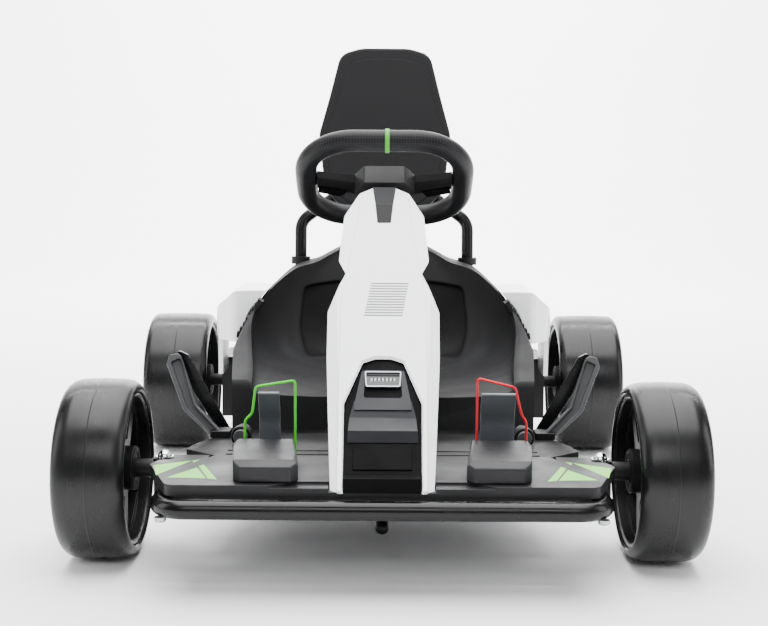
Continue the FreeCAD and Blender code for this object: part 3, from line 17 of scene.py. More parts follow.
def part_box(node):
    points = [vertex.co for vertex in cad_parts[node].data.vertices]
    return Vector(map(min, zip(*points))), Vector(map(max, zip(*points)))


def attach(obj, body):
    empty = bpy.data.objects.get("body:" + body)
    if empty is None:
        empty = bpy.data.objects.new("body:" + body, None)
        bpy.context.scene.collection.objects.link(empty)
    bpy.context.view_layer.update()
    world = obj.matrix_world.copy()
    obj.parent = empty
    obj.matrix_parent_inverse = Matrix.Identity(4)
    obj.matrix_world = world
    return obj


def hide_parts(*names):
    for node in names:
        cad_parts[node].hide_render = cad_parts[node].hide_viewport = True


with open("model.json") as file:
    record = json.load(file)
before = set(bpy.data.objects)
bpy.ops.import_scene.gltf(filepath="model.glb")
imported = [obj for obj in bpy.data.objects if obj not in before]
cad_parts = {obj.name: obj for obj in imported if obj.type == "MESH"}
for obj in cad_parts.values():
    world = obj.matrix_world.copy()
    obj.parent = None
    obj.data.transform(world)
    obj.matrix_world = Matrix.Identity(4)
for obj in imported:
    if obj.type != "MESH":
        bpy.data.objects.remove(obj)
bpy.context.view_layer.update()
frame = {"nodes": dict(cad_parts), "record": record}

nodes = frame["nodes"]

# %% [markdown]
# ## The photographer's camera
# The picture was taken from straight ahead, a little above the steering wheel. The focal length
# in pixels, the camera's place and its two small turns were fitted to the wheels and the seat.
# Blender wants the focal length in millimetres on a 36 mm wide sensor, so it is scaled by the
# picture's width.

# %% Camera
PHOTO_WIDTH = 768
SENSOR_MM = 36.0
FOCAL_PIXELS = 1253.38
CAMERA_PLACE = (0.0006, -1.8288, 0.4691)  # metres
PITCH_DOWN = 0.1096  # radians
ROLL = 0.0068  # radians


def in_scene(name, data):
    """New object for a mesh, a lamp or a camera, linked to the scene."""
    thing = bpy.data.objects.new(name, data)
    bpy.context.scene.collection.objects.link(thing)
    return thing


forward = np.array([0.0, math.cos(PITCH_DOWN), -math.sin(PITCH_DOWN)])
level = np.array([1.0, 0.0, 0.0])
upward = np.cross(level, forward)
right = math.cos(ROLL) * level + math.sin(ROLL) * upward
up = math.cos(ROLL) * upward - math.sin(ROLL) * level

camera_data = bpy.data.cameras.new("camera")
camera_data.sensor_width = SENSOR_MM
camera_data.lens = SENSOR_MM * FOCAL_PIXELS / PHOTO_WIDTH
camera = in_scene("camera", camera_data)
turn = Matrix([[right[i], up[i], -forward[i]] for i in range(3)]).to_4x4()
camera.matrix_world = Matrix.Translation(CAMERA_PLACE) @ turn
bpy.context.scene.camera = camera
print("lens", round(camera_data.lens, 2), "mm")

# %% [markdown]
# ## Putting arrays into a mesh
# Every new surface is worked out as one numpy array of points. One function writes it into a
# mesh, merges points that share a place, and makes the faces point outwards, which closes seams
# and poles. Smooth shading stops at edges sharper than a given angle.

# %% Mesh from arrays
MERGE = 1e-5  # points nearer than this, in metres, are one point


def shade(mesh, sharp_degrees):
    """Smooth shading, except over edges sharper than the angle."""
    mesh.polygons.foreach_set("use_smooth", np.ones(len(mesh.polygons), dtype=bool))
    mesh.set_sharp_from_angle(angle=math.radians(sharp_degrees))


def vectors(items, key):
    """Rows of x, y, z read from a mesh's vertices or faces."""
    values = np.empty(len(items) * 3)
    items.foreach_get(key, values)
    return values.reshape(-1, 3)


def put_mesh(name, points, faces, sharp_degrees=35.0, uv=None):
    """Object at the origin with the given points and faces; uv is one pair for each point."""
    mesh = bpy.data.meshes.new(name)
    mesh.from_pydata(np.asarray(points).reshape(-1, 3).tolist(), [], faces)
    if uv is not None:
        layer = mesh.uv_layers.new(name="UVMap")
        corners = np.empty(len(mesh.loops), dtype=np.int32)
        mesh.loops.foreach_get("vertex_index", corners)
        pairs = np.asarray(uv, dtype=np.float32).reshape(-1, 2)[corners]
        layer.data.foreach_set("uv", pairs.ravel())
    work = bmesh.new()
    work.from_mesh(mesh)
    bmesh.ops.remove_doubles(work, verts=work.verts, dist=MERGE)
    bmesh.ops.dissolve_degenerate(work, dist=MERGE, edges=work.edges)
    bmesh.ops.recalc_face_normals(work, faces=work.faces)
    work.to_mesh(mesh)
    work.free()
    shade(mesh, sharp_degrees)
    return in_scene(name, mesh)


def grid_faces(rows, columns, closed_rows=False, closed_columns=False):
    """Quads between neighbours of a grid of points, joined round where a direction is closed."""
    row = np.arange(rows if closed_rows else rows - 1)
    column = np.arange(columns if closed_columns else columns - 1)
    r, c = np.meshgrid(row, column, indexing="ij")
    following_r = (r + 1) % rows
    following_c = (c + 1) % columns
    quads = np.stack([r * columns + c, r * columns + following_c,
                      following_r * columns + following_c, following_r * columns + c], axis=-1)
    return quads.reshape(-1, 4).tolist()


print("mesh helpers ready")

# %% [markdown]
# ## Colours and nodes
# Colours are written as the hex values that a picture shows and turned to the linear values that
# a shader needs. One small function adds a node with its settings and links.

# %% Colour and node helpers


def colour(text):
    """Linear red, green, blue and alpha of an sRGB hex value."""
    value = np.array([int(text[i:i + 2], 16) for i in (0, 2, 4)]) / 255
    linear = np.where(value <= 0.04045, value / 12.92, ((value + 0.055) / 1.055) ** 2.4)
    return (*[float(part) for part in linear], 1.0)


def add(material, kind, settings=None, links=None):
    """Adds a node; a setting is a property or an unlinked input, a link feeds an input."""
    made = material.node_tree.nodes.new("ShaderNode" + kind)
    for key, value in (settings or {}).items():
        if isinstance(key, str) and hasattr(made, key):
            setattr(made, key, value)
        else:
            made.inputs[key].default_value = value
    for key, socket in (links or {}).items():
        material.node_tree.links.new(socket, made.inputs[key])
    return made


def new_material(name, base, roughness, specular=0.5, metallic=0.0):
    """Material with a principled shader whose plain values stand on its own sockets."""
    material = bpy.data.materials.new(name)
    material.use_nodes = True
    shader = material.node_tree.nodes["Principled BSDF"]
    shader.inputs["Base Color"].default_value = colour(base)
    shader.inputs["Roughness"].default_value = roughness
    shader.inputs["Specular IOR Level"].default_value = specular
    shader.inputs["Metallic"].default_value = metallic
    return material, shader


def feed(material, shader, sockets):
    """Joins patterns to the shader's inputs of the given names."""
    for key, socket in sockets.items():
        material.node_tree.links.new(socket, shader.inputs[key])


print("white is", colour("ffffff")[:3])

# %% [markdown]
# ## Moulded plastics
# Most of the kart is injection-moulded. The mould gives dark polypropylene an even, fine spark
# grain that breaks reflections up; handling leaves faint patches that are a little smoother. The
# real grain is about 0.3 mm, too fine to show, so it is drawn at 1.2 mm. White ABS has a finer
# grain and looks satin. The soft boxes are bright, and a black part would look grey in them, so
# the dark plastics reflect less than the shader's default.

# %% Moulded plastics
MM = 0.001
MIDDLE_OF_NOISE = {"From Min": 0.3, "From Max": 0.7}  # nearly all of a noise lies in here
GRAIN_STRENGTH = 0.35
LEAST_ROUGHNESS = 0.03


def surfaced(name, base, roughness, specular, metallic, fine, slow, spread, bump):
    """Fine relief, and gloss that changes slowly; gives the slow pattern too.

    Fine and slow are (size in mm, detail), spread is roughness (down, up), bump (strength, mm).
    """
    material, shader = new_material(name, base, roughness, specular, metallic)
    place = add(material, "TexCoord").outputs["Object"]
    relief, patches = (add(material, "TexNoise", {"Scale": 1 / (size * MM), "Detail": detail},
                           {"Vector": place}).outputs["Fac"] for size, detail in (fine, slow))
    gloss = add(material, "MapRange",
                {**MIDDLE_OF_NOISE, "To Min": max(roughness - spread[0], LEAST_ROUGHNESS),
                 "To Max": roughness + spread[1]}, {"Value": patches})
    raised = add(material, "Bump", {"Strength": bump[0], "Distance": bump[1] * MM},
                 {"Height": relief})
    feed(material, shader, {"Roughness": gloss.outputs["Result"],
                            "Normal": raised.outputs["Normal"]})
    return material, shader, patches


def moulded(name, base, lighter, roughness, specular=0.5, grain_mm=1.2, depth_mm=0.05,
            patch_mm=60.0, spread=0.10):
    """Plastic with grain as bump, and slow patches of tone and gloss."""
    material, shader, patches = surfaced(name, base, roughness, specular, 0.0, (grain_mm, 2.0),
                                         (patch_mm, 3.0), (spread, spread),
                                         (GRAIN_STRENGTH, depth_mm))
    tone = add(material, "MixRGB", {"Color1": colour(base), "Color2": colour(lighter)},
               {"Fac": patches})
    feed(material, shader, {"Base Color": tone.outputs["Color"]})
    return material


black_pp = moulded("polypropylene_moulded_black", "09090a", "0e0e0f", 0.46, 0.26, depth_mm=0.06)
grey_pp = moulded("polypropylene_moulded_grey", "151517", "1b1b1d", 0.44, 0.28)
# Lighter panel colour: painted light, for the nose insert's faces that look up.
panel_painted_light = moulded("polypropylene_moulded_panel", "1a1a1e", "202125", 0.42, 0.22, depth_mm=0.04)
panel_black = moulded("polypropylene_moulded_panel_black", "040405", "070708", 0.55, 0.05,
                      depth_mm=0.04)
hub_grey = moulded("polypropylene_moulded_hub", "151517", "1a1a1c", 0.42, 0.35)
shield_pp = moulded("polypropylene_moulded_seat", "1e1e1f", "232324", 0.60, 0.06, depth_mm=0.06)
rim_pp = moulded("polypropylene_moulded_rim", "08080a", "0c0c0e", 0.38, 0.24, depth_mm=0.04)
strut_grey = moulded("nylon_moulded_grey", "38393b", "3f4042", 0.40)
pedal_grey = moulded("nylon_moulded_blue_grey", "42454a", "4a4d52", 0.36)
white_abs = moulded("abs_moulded_white", "f8f9fc", "fcfdff", 0.30, grain_mm=0.9, depth_mm=0.015,
                    patch_mm=90.0, spread=0.05)
print("plastics from", panel_black.name, "to", white_abs.name)

# %% [markdown]
# ## The tyres' hard skin
# A drift tyre is a sleeve of polyethylene, not soft rubber. It comes off the mould glossy, with
# long faint flow marks round the tread and small scuffs. The flow marks are noise stretched
# along the tread, and the scuffs come from thin Voronoi cell edges.

# %% Tyre skin
FLOW_PER_METRE = (30.0, 9.0, 9.0)  # marks 33 mm wide across the tread and 110 mm long round it
SCUFF_MM = 130.0
SCUFF_WIDTH = 0.004  # in cells of the pattern, so 0.5 mm
RIPPLE_MM = 0.4
tyre_skin, shader = new_material("polyethylene_moulded_black", "060607", 0.3, 0.30)
place = add(tyre_skin, "TexCoord").outputs["Object"]
stretched = add(tyre_skin, "Mapping", {"Scale": FLOW_PER_METRE}, {"Vector": place})
flow = add(tyre_skin, "TexNoise", {"Scale": 1.0, "Detail": 4.0, "Roughness": 0.6},
           {"Vector": stretched.outputs["Vector"]})
scuffs = add(tyre_skin, "TexVoronoi",
             {"feature": "DISTANCE_TO_EDGE", "Scale": 1 / (SCUFF_MM * MM)}, {"Vector": place})
thin = add(tyre_skin, "MapRange",
           {"From Min": 0.0, "From Max": SCUFF_WIDTH, "To Min": 0.05, "To Max": 0.0},
           {"Value": scuffs.outputs["Distance"]})
gloss = add(tyre_skin, "MapRange", {**MIDDLE_OF_NOISE, "To Min": 0.22, "To Max": 0.36},
            {"Value": flow.outputs["Fac"]})
total = add(tyre_skin, "Math", {"operation": "ADD"},
            {0: gloss.outputs["Result"], 1: thin.outputs["Result"]})
tone = add(tyre_skin, "MixRGB", {"Color1": colour("050506"), "Color2": colour("0a0a0b")},
           {"Fac": flow.outputs["Fac"]})
ripple = add(tyre_skin, "Bump", {"Strength": 0.14, "Distance": RIPPLE_MM * MM},
             {"Height": flow.outputs["Fac"]})
feed(tyre_skin, shader, {"Roughness": total.outputs["Value"], "Base Color": tone.outputs["Color"],
                         "Normal": ripple.outputs["Normal"]})
print("tyre skin", tyre_skin.name)

# %% [markdown]
# ## Painted and bare metal
# The tubes are powder coated: a thick, slightly orange-peeled gloss. The wire guards carry gloss
# enamel. Screws are zinc plated and the kingpins' domed nuts chromed; a metal keeps the shader's
# default IOR.

# %% Metals
PEEL_MM = 2.5
PEEL_DEPTH_MM = 0.1
SMEAR_MM = 40.0


def coated(name, base, roughness, specular=0.5, metallic=0.0, peel=0.12):
    """Metal under a coat, or plated, with the slow waves that spraying or plating leaves."""
    return surfaced(name, base, roughness, specular, metallic, (PEEL_MM, 1.0), (SMEAR_MM, 4.0),
                    (0.06, 0.08), (peel, PEEL_DEPTH_MM))[0]


gloss_coat = coated("steel_powder_coated_gloss", "050506", 0.24, 0.26)
satin_coat = coated("steel_powder_coated_satin", "070708", 0.40, 0.26, peel=0.2)
zinc = coated("steel_zinc_plated", "a8aaad", 0.32, metallic=1.0)
chrome = coated("chrome_plated", "d8dadc", 0.08, metallic=1.0, peel=0.05)
chrome_dark = coated("chrome_plated_smoked", "7f8387", 0.16, metallic=1.0, peel=0.05)
green_enamel = coated("steel_enamelled_green", "39b010", 0.30, 0.3)
red_enamel = coated("steel_enamelled_red", "b80a20", 0.30, 0.25)
print("metals from", gloss_coat.name, "to", chrome.name)

# %% [markdown]
# ## Vinyl, ring and ink
# The deck carries pale green vinyl, which is satin and thin, and the steering wheel has a green
# moulded ring. The stripes on the nose are grey ink.

# %% Vinyl, ring, ink
green_vinyl = moulded("vinyl_film_green", "6ac23c", "73ca45", 0.46, 0.3, 1.5, 0.01, 30.0, 0.05)
green_ring = moulded("pvc_moulded_green", "3b9a14", "44a31c", 0.40, 0.3, 1.0, 0.02, 20.0, 0.05)
grey_print = moulded("ink_printed_grey", "636569", "6b6d71", 0.40, 0.5, 1.5, 0.01, 30.0, 0.05)
print("films", [m.name for m in (green_vinyl, green_ring, grey_print)])

# %% [markdown]
# ## Finishes on the CAD solids
# Solids whose shape is already right keep their mesh; only the material in their slots changes.

# %% Dress the frame
CAD_FINISHES = [
    (satin_coat, ["main_frame", "front_axle_beam", "rear_axle_beam", "knuckle_left",
                  "knuckle_right", "track_rod", "steering_column", "steering_shaft",
                  "drive_motors"]),
    (gloss_coat, ["front_bumper", "rear_bumper", "seat_hoop"]),
    (chrome, ["kingpins"]),
    (black_pp, ["hoop_collars"]),
]


def dress(thing, material):
    """Puts a material in every slot of an object."""
    if not thing.material_slots:
        thing.data.materials.append(material)
    for slot in thing.material_slots:
        slot.material = material


for material, names in CAD_FINISHES:
    for name in names:
        dress(nodes[name], material)
print("dressed", sum(len(names) for _, names in CAD_FINISHES), "nodes")

# %% [markdown]
# ## Softening the moulded edges
# No moulding has knife edges: the mould's corners are rounded by 1 to 4 mm, and that rounding is
# what catches the light. A copy of the CAD mesh is merged, its flat faces are joined again, and a
# Bevel modifier rounds what is left. The copy then stands for the CAD node.

# %% Softened copies
EDGE_DEGREES = 30.0
FLAT_DEGREES = 0.3
record = frame["record"]
body_of = {node: body for body, members in record["behaviour"]["bodies"].items()
           for node in members}


def placed(thing, material, node, stands_for=()):
    """Finish, body and slot of a new piece, taken from the CAD node that it belongs to."""
    dress(thing, material)
    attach(thing, body_of[node])
    if stands_for:
        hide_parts(*stands_for)
    return thing


def round_edges(thing, width_mm, segments, edge_degrees):
    """Bevel modifier on the edges that are sharper than the angle."""
    bevel = thing.modifiers.new("rounded_edges", "BEVEL")
    bevel.width = width_mm * MM
    bevel.segments = segments
    bevel.limit_method = "ANGLE"
    bevel.angle_limit = math.radians(edge_degrees)
    bevel.harden_normals = True


def softened(node, width_mm, material):
    """Copy of a CAD node with whole flat faces and rounded edges, put in the node's place."""
    work = bmesh.new()
    work.from_mesh(nodes[node].data)
    bmesh.ops.remove_doubles(work, verts=work.verts, dist=MERGE)
    bmesh.ops.dissolve_limit(work, angle_limit=math.radians(FLAT_DEGREES), verts=work.verts,
                             edges=work.edges)
    mesh = bpy.data.meshes.new(node + "_soft")
    work.to_mesh(mesh)
    work.free()
    for layer in ("custom_normal", "sharp_face"):
        if layer in mesh.attributes:
            mesh.attributes.remove(mesh.attributes[layer])
    shade(mesh, EDGE_DEGREES)
    thing = in_scene(node + "_soft", mesh)
    round_edges(thing, width_mm, 3, EDGE_DEGREES)
    return placed(thing, material, node, [node])


SOFTENED = [
    # node, edge rounding in mm, finish
    ("front_deck", 3.0, grey_pp), ("pedal_boxes", 2.5, grey_pp), ("nose_fairing", 1.6, white_abs),
    ("nose_insert", 1.2, panel_black), ("steering_hub", 2.5, black_pp),
    ("side_guard_left", 1.2, strut_grey), ("side_guard_right", 1.2, strut_grey),
    ("side_pod_left", 3.0, white_abs), ("side_pod_right", 3.0, white_abs),
    ("seat_back", 6.0, shield_pp), ("floor_pan", 1.5, black_pp),
    ("throttle_pedal", 1.2, pedal_grey), ("brake_pedal", 1.2, pedal_grey),
    ("battery_box", 2.0, black_pp), ("guard_struts", 0.8, gloss_coat),
    ("front_rim_left", 0.8, rim_pp), ("front_rim_right", 0.8, rim_pp),
    ("rear_rim_left", 0.8, rim_pp), ("rear_rim_right", 0.8, rim_pp),
]
soft = {node: softened(node, width, material) for node, width, material in SOFTENED}
print("softened", len(soft), "pieces")

# %% [markdown]
# ## Tyres
# The sleeve is a closed profile turned round the wheel's axle: flat sides, elliptical shoulders,
# a tread that is very slightly crowned, and the thin raised line that the two halves of the mould
# leave round the middle. Turning a numpy profile keeps that line crisp, which a subdivided
# cylinder would not.

# %% Turned profiles
SIDES = ((1, "left"), (-1, "right"))


def turned(name, profile, centre, turns=120, sharp_degrees=35.0):
    """Closed profile of (across, radius) pairs turned round a line along X through the centre."""
    profile = np.asarray(profile)
    angle = np.linspace(0, 2 * np.pi, turns, endpoint=False)
    points = np.empty((turns, len(profile), 3))
    points[..., 0] = centre[0] + profile[None, :, 0]
    points[..., 1] = centre[1] + profile[None, :, 1] * np.cos(angle)[:, None]
    points[..., 2] = centre[2] + profile[None, :, 1] * np.sin(angle)[:, None]
    return put_mesh(name, points, grid_faces(turns, len(profile), True, True), sharp_degrees)


def tyre_profile(radius, width, seat, shoulder, rise):
    """Half an outline: seat, flat side, quarter ellipse, crown with a mould line; then mirrored."""
    half = width / 2
    angle = np.linspace(0, np.pi / 2, 12)
    side = np.array([[half - 2 * MM, seat], [half, seat + 1.5 * MM]])
    ellipse = np.stack([half - shoulder * (1 - np.cos(angle)),
                        radius - 0.9 * MM - rise * (1 - np.sin(angle))], axis=1)
    edge = half - shoulder
    mould_line = np.array([1.4, 0.9, 0.5, 0.3]) * MM
    place_across = np.concatenate([np.linspace(edge, 3 * MM, 8)[1:], mould_line])
    fall = 0.4 * MM + 0.5 * MM * (place_across / edge) ** 2
    fall[-2:] = [0.15 * MM, 0.05 * MM]
    crown = np.stack([place_across, radius - fall], axis=1)
    right_half = np.vstack([side, ellipse, crown])
    left_half = right_half[::-1] * [-1, 1]
    return np.vstack([right_half, left_half])


print("turned profiles ready")

# %% Tyres
TYRES = [
    # end of the kart, tyre radius, width, seat radius, shoulder across, shoulder up
    ("front", 0.110, 0.085, 0.094, 0.021, 0.0128),
    ("rear", 0.115, 0.104, 0.098, 0.0125, 0.0125),
]
wheel_centres = {}
for end, *shape in TYRES:
    for _, side in SIDES:
        node = f"{end}_tyre_{side}"
        low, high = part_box(node)
        centre = [(low[i] + high[i]) / 2 for i in range(3)]
        wheel_centres[end, side] = centre
        placed(turned(node + "_sleeve", tyre_profile(*shape), centre), tyre_skin, node, [node])
print("tyres at", {key: [round(v, 3) for v in value] for key, value in wheel_centres.items()})

# %% [markdown]
# ## The bucket
# The seat is one big moulding: a raised neck at the back, round shoulders, and side walls that run
# forward and get lower. Its outside is a height over the plan, the lower of two outlines that the
# maker drew: the arch seen from the front and the rising line seen from the side. Its inside is a
# bowl. Each curve of the bowl starts on the middle line of the seat and ends on the crest of the
# wall, flat at first and steep at the end, like a quarter of a superellipse. A grid of such curves
# gives one smooth skin, where a box with cut corners would show creases.

# %% Outlines of the bucket
bucket_low, bucket_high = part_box("seat_bucket")
SEAT_HALF = bucket_high[0]
SEAT_FRONT = bucket_low[1]
SEAT_BACK = bucket_high[1]
SEAT_BASE = bucket_low[2]
OUTLINE_POINTS = 160


def evenly(dense, count, closed=False):
    """Points evenly spaced by length along a dense line, and their lengths from its start."""
    length = np.concatenate([[0], np.cumsum(np.linalg.norm(np.diff(dense, axis=0), axis=1))])
    wanted = np.linspace(0, length[-1], count, endpoint=not closed)
    return np.stack([np.interp(wanted, length, part) for part in dense.T], axis=1), wanted


def through(knots, count):
    """Smooth curve through rows of knots: Catmull-Rom pieces, then evenly spaced by length."""
    knots = np.asarray(knots, dtype=float)
    padded = np.vstack([2 * knots[0] - knots[1], knots, 2 * knots[-1] - knots[-2]])
    u = np.linspace(0, 1, 24, endpoint=False)[:, None]
    before, first, second, after = padded[:-3], padded[1:-2], padded[2:-1], padded[3:]
    pieces = [0.5 * (2 * b + (c - a) * u + (2 * a - 5 * b + 4 * c - d) * u ** 2
                     + (3 * b - a - 3 * c + d) * u ** 3)
              for a, b, c, d in zip(before, first, second, after)]
    return evenly(np.vstack(pieces + [knots[-1:]]), count)[0]


# Front view, from the middle outward: (half width, height) in metres.
ARCH = through([(0.0, 0.3555), (0.040, 0.3555), (0.066, 0.3515), (0.092, 0.339),
                (0.112, 0.3285), (0.146, 0.3185), (0.172, 0.299), (0.195, 0.275),
                (0.212, 0.246), (0.223, 0.215), (0.231, 0.175), (0.2368, 0.137),
                (0.2378, 0.1136)], OUTLINE_POINTS)
# Side view, from the front backward: (place along the kart, height).
WALL_TOP = through([(-0.130, 0.180), (-0.1265, 0.187), (-0.113, 0.1905), (-0.040, 0.205),
                    (0.030, 0.2215), (0.090, 0.247), (0.160, 0.293), (0.250, 0.352),
                    (0.336, 0.40)], OUTLINE_POINTS)


def outside_height(x, y, rounding=0.006):
    """Height of the outside: the lower of arch and wall top, blended over the rounding."""
    arch = np.interp(np.abs(x), ARCH[:, 0], ARCH[:, 1])
    wall = np.interp(y, WALL_TOP[:, 0], WALL_TOP[:, 1])
    return -rounding * np.logaddexp(-arch / rounding, -wall / rounding)


print("arch from", ARCH[0], "to", ARCH[-1])

# %% The bowl
AROUND = 240
INSIDE = 56
SQUARE = 0.62  # exponent of the superellipse; 1 would give an ellipse
# From the front to the middle of the back: place along the kart, half width at the wall's crest,
# height of the bowl's middle, and the outline's two coordinates under that crest, in metres.
BOWL = through([
    (-0.130, 0.180, 0.1655, 0.2075, -0.130), (-0.060, 0.186, 0.1655, 0.2150, -0.060),
    (0.020, 0.196, 0.1630, 0.2235, 0.022), (0.090, 0.203, 0.1600, 0.2310, 0.095),
    (0.150, 0.197, 0.1580, 0.2370, 0.165), (0.190, 0.180, 0.1620, 0.2378, 0.225),
    (0.220, 0.162, 0.1760, 0.2378, 0.275), (0.240, 0.145, 0.2100, 0.2372, 0.315),
    (0.256, 0.121, 0.2620, 0.2200, 0.335), (0.270, 0.098, 0.3050, 0.1700, 0.335),
    (0.282, 0.071, 0.3380, 0.1150, 0.335), (0.2915, 0.040, 0.3545, 0.0600, 0.335),
    (0.2935, 0.0, 0.3555, 0.0, 0.335)], AROUND)
BOWL[:, 3] = np.clip(BOWL[:, 3], 0, SEAT_HALF)
BOWL[:, 4] = np.clip(BOWL[:, 4], SEAT_FRONT, SEAT_BACK)
along, crest_x, middle_z, outline_x, outline_y = BOWL.T
crest_z = outside_height(crest_x, along)

angle = np.linspace(0, np.pi / 2, INSIDE)
across = np.sin(angle) ** SQUARE
upward_share = 1 - np.cos(angle) ** SQUARE
bowl = np.empty((AROUND, INSIDE, 3))
bowl[..., 0] = crest_x[:, None] * across
bowl[..., 1] = along[:, None]
bowl[..., 2] = middle_z[:, None] + (crest_z - middle_z)[:, None] * upward_share
print("bowl's lowest point", round(float(bowl[..., 2].min()), 4))

# %% The pad in the back
# A pad is pressed into the back of the bowl. Its outline is seen from the front, on one side.
PAD = np.array([(0.0, 0.294), (0.084, 0.294), (0.132, 0.288), (0.140, 0.2135),
                (0.126, 0.1735), (0.0, 0.1735)])
PAD_CORNER = 0.020
PAD_DEPTH = 0.005
PAD_SLOPE = 0.005
PAD_FRONT = 0.070
PAD_BACK = 0.310
PAD_FAR = 0.2  # further off than this, in metres, makes no difference
NOT_IN_PAD = -0.05


def inside_pad(x, z):
    """Distance inside the pad's outline: the least over its sides, softened at the corners."""
    foot, following = PAD[:-1], PAD[1:]
    side = following - foot
    inward = (np.stack([side[:, 1], -side[:, 0]], axis=1)
              / np.linalg.norm(side, axis=1)[:, None])
    distance = ((x[..., None] - foot[:, 0]) * inward[:, 0]
                + (z[..., None] - foot[:, 1]) * inward[:, 1])
    sharpness = PAD_CORNER / 5
    near = np.clip(distance, -PAD_FAR, PAD_FAR)
    return -sharpness * np.log(np.sum(np.exp(-near / sharpness), axis=-1))


in_pad = inside_pad(bowl[..., 0], bowl[..., 2])
in_pad = np.where(bowl[..., 1] > PAD_FRONT, in_pad, NOT_IN_PAD)
pressed = np.clip(in_pad / PAD_SLOPE + 0.5, 0, 1)
bowl[..., 1] += PAD_DEPTH * pressed * pressed * (3 - 2 * pressed)
print("pad covers", round(float((pressed > 0.5).mean()), 3), "of the bowl's points")

# %% Shoulder, foot and the whole skin
SHOULDER = 22
SHOULDER_BEND = 1.8  # above 1 the shoulder leaves the crest fast and reaches the outline slowly
# The crest is rounded: both sides of it are let down a little, most where they meet.
CREST_DROP = 0.004
CREST_SHARE = 0.35
CREST_TIGHTNESS = 8
# Behind this line the moulding's foot is cut higher, clear of the motors.
MOTOR_CLEAR_LINE = 0.236
MOTOR_CLEAR_HEIGHT = 0.1655
LEAST_WALL = 0.001

share = np.linspace(0, 1, SHOULDER + 1)[1:]
steep = 1 - (1 - share) ** SHOULDER_BEND
shoulder = np.empty((AROUND, SHOULDER, 3))
shoulder[..., 0] = crest_x[:, None] + (outline_x - crest_x)[:, None] * steep
shoulder[..., 1] = along[:, None] + (outline_y - along)[:, None] * steep
shoulder[..., 2] = outside_height(shoulder[..., 0], shoulder[..., 1])
shoulder[..., 2] -= CREST_DROP * (1 - np.sin(np.pi / 2 * np.minimum(steep / CREST_SHARE, 1.0)))
bowl[..., 2] -= CREST_DROP * across ** CREST_TIGHTNESS

base_z = np.where(outline_y > MOTOR_CLEAR_LINE, MOTOR_CLEAR_HEIGHT, SEAT_BASE)
foot = np.empty((AROUND, 2, 3))
foot[:, 0, 0] = outline_x
foot[:, 1, 0] = 0.0
foot[..., 1] = outline_y[:, None]
foot[..., 2] = np.minimum(base_z, shoulder[:, -1, 2] - LEAST_WALL)[:, None]
left_skin = np.concatenate([bowl, shoulder, foot], axis=1)
columns = left_skin.shape[1]
left_skin = left_skin.reshape(-1, 3)
count = len(left_skin)
faces = grid_faces(AROUND, columns)
faces_right = [[corner + count for corner in reversed(face)] for face in faces]
front_ring = list(range(columns)) + [count + i for i in reversed(range(columns))]
bucket = put_mesh("seat_shell", np.vstack([left_skin, left_skin * [-1, 1, 1]]),
                  faces + faces_right + [front_ring], 40)
print("bucket", len(bucket.data.polygons), "faces")

# %% [markdown]
# ## The bucket's plastic
# The pad pressed into the back is painted darker: painted shade of its recess. The distance inside
# its outline is kept on the mesh as an attribute, and the material fades from its own tone to the
# painted shade over 2 mm of it.

# %% Painted shade in the pad
PAD_FADE = 0.001
places = vectors(bucket.data.vertices, "co")
distance = inside_pad(np.abs(places[:, 0]), places[:, 2])
in_bowl = (places[:, 1] > PAD_FRONT) & (places[:, 1] < PAD_BACK)
held = bucket.data.attributes.new("in_pad", "FLOAT", "POINT")
held.data.foreach_set("value", np.where(in_bowl, distance, NOT_IN_PAD).astype(np.float32))

seat_pp = moulded("polypropylene_moulded_bucket", "1e1e1f", "242425", 0.58, 0.08, depth_mm=0.06)
shader = seat_pp.node_tree.nodes["Principled BSDF"]
plain = shader.inputs["Base Color"].links[0].from_socket
pad_place = add(seat_pp, "Attribute", {"attribute_name": "in_pad"}).outputs["Fac"]
pad_shade_share = add(seat_pp, "MapRange", {"From Min": -PAD_FADE, "From Max": PAD_FADE},
                {"Value": pad_place})
# The darker colour inside the pad is painted shade of its recess.
pad_painted_shade = add(seat_pp, "MixRGB", {"Color2": colour("101011")},
            {"Fac": pad_shade_share.outputs["Result"], "Color1": plain})
feed(seat_pp, shader, {"Base Color": pad_painted_shade.outputs["Color"]})
placed(bucket, seat_pp, "seat_bucket", ["seat_bucket"])
print("points in the pad", int((distance[in_bowl] > 0).sum()))

# %% [markdown]
# ## The steering wheel's grip
# A closed tube with a flat top and bottom. It is soft foam with a woven-look film on it, so its
# surface coordinates run along the grip and round it; the weave is a pattern over them.

# %% Grip's shape
HUB = np.array([0.0, -0.062, 0.463])
COLUMN_ANGLE = math.radians(54)
SHAFT_UP = np.array([0.0, math.cos(COLUMN_ANGLE), math.sin(COLUMN_ANGLE)])
WHEEL_UP = np.array([0.0, -math.sin(COLUMN_ANGLE), math.cos(COLUMN_ANGLE)])
WHEEL_ACROSS = np.array([-1.0, 0.0, 0.0])
GRIP_HALF_WIDE = 0.109
GRIP_HALF_HIGH = 0.088
UPPER_CORNER = 0.070
LOWER_CORNER = 0.062
GRIP_RADIUS = 0.0146
GRIP_RINGS = 260
AROUND_GRIP = 36
# The tube swells where the hands hold it: by how much, round which height, over which length.
SWELL, SWELL_HEIGHT, SWELL_LENGTH, SWELL_SIDE = 0.0006, 0.005, 0.030, 0.08
WRAP_RADIUS = 0.015  # turns an angle round the tube into a length for the weave


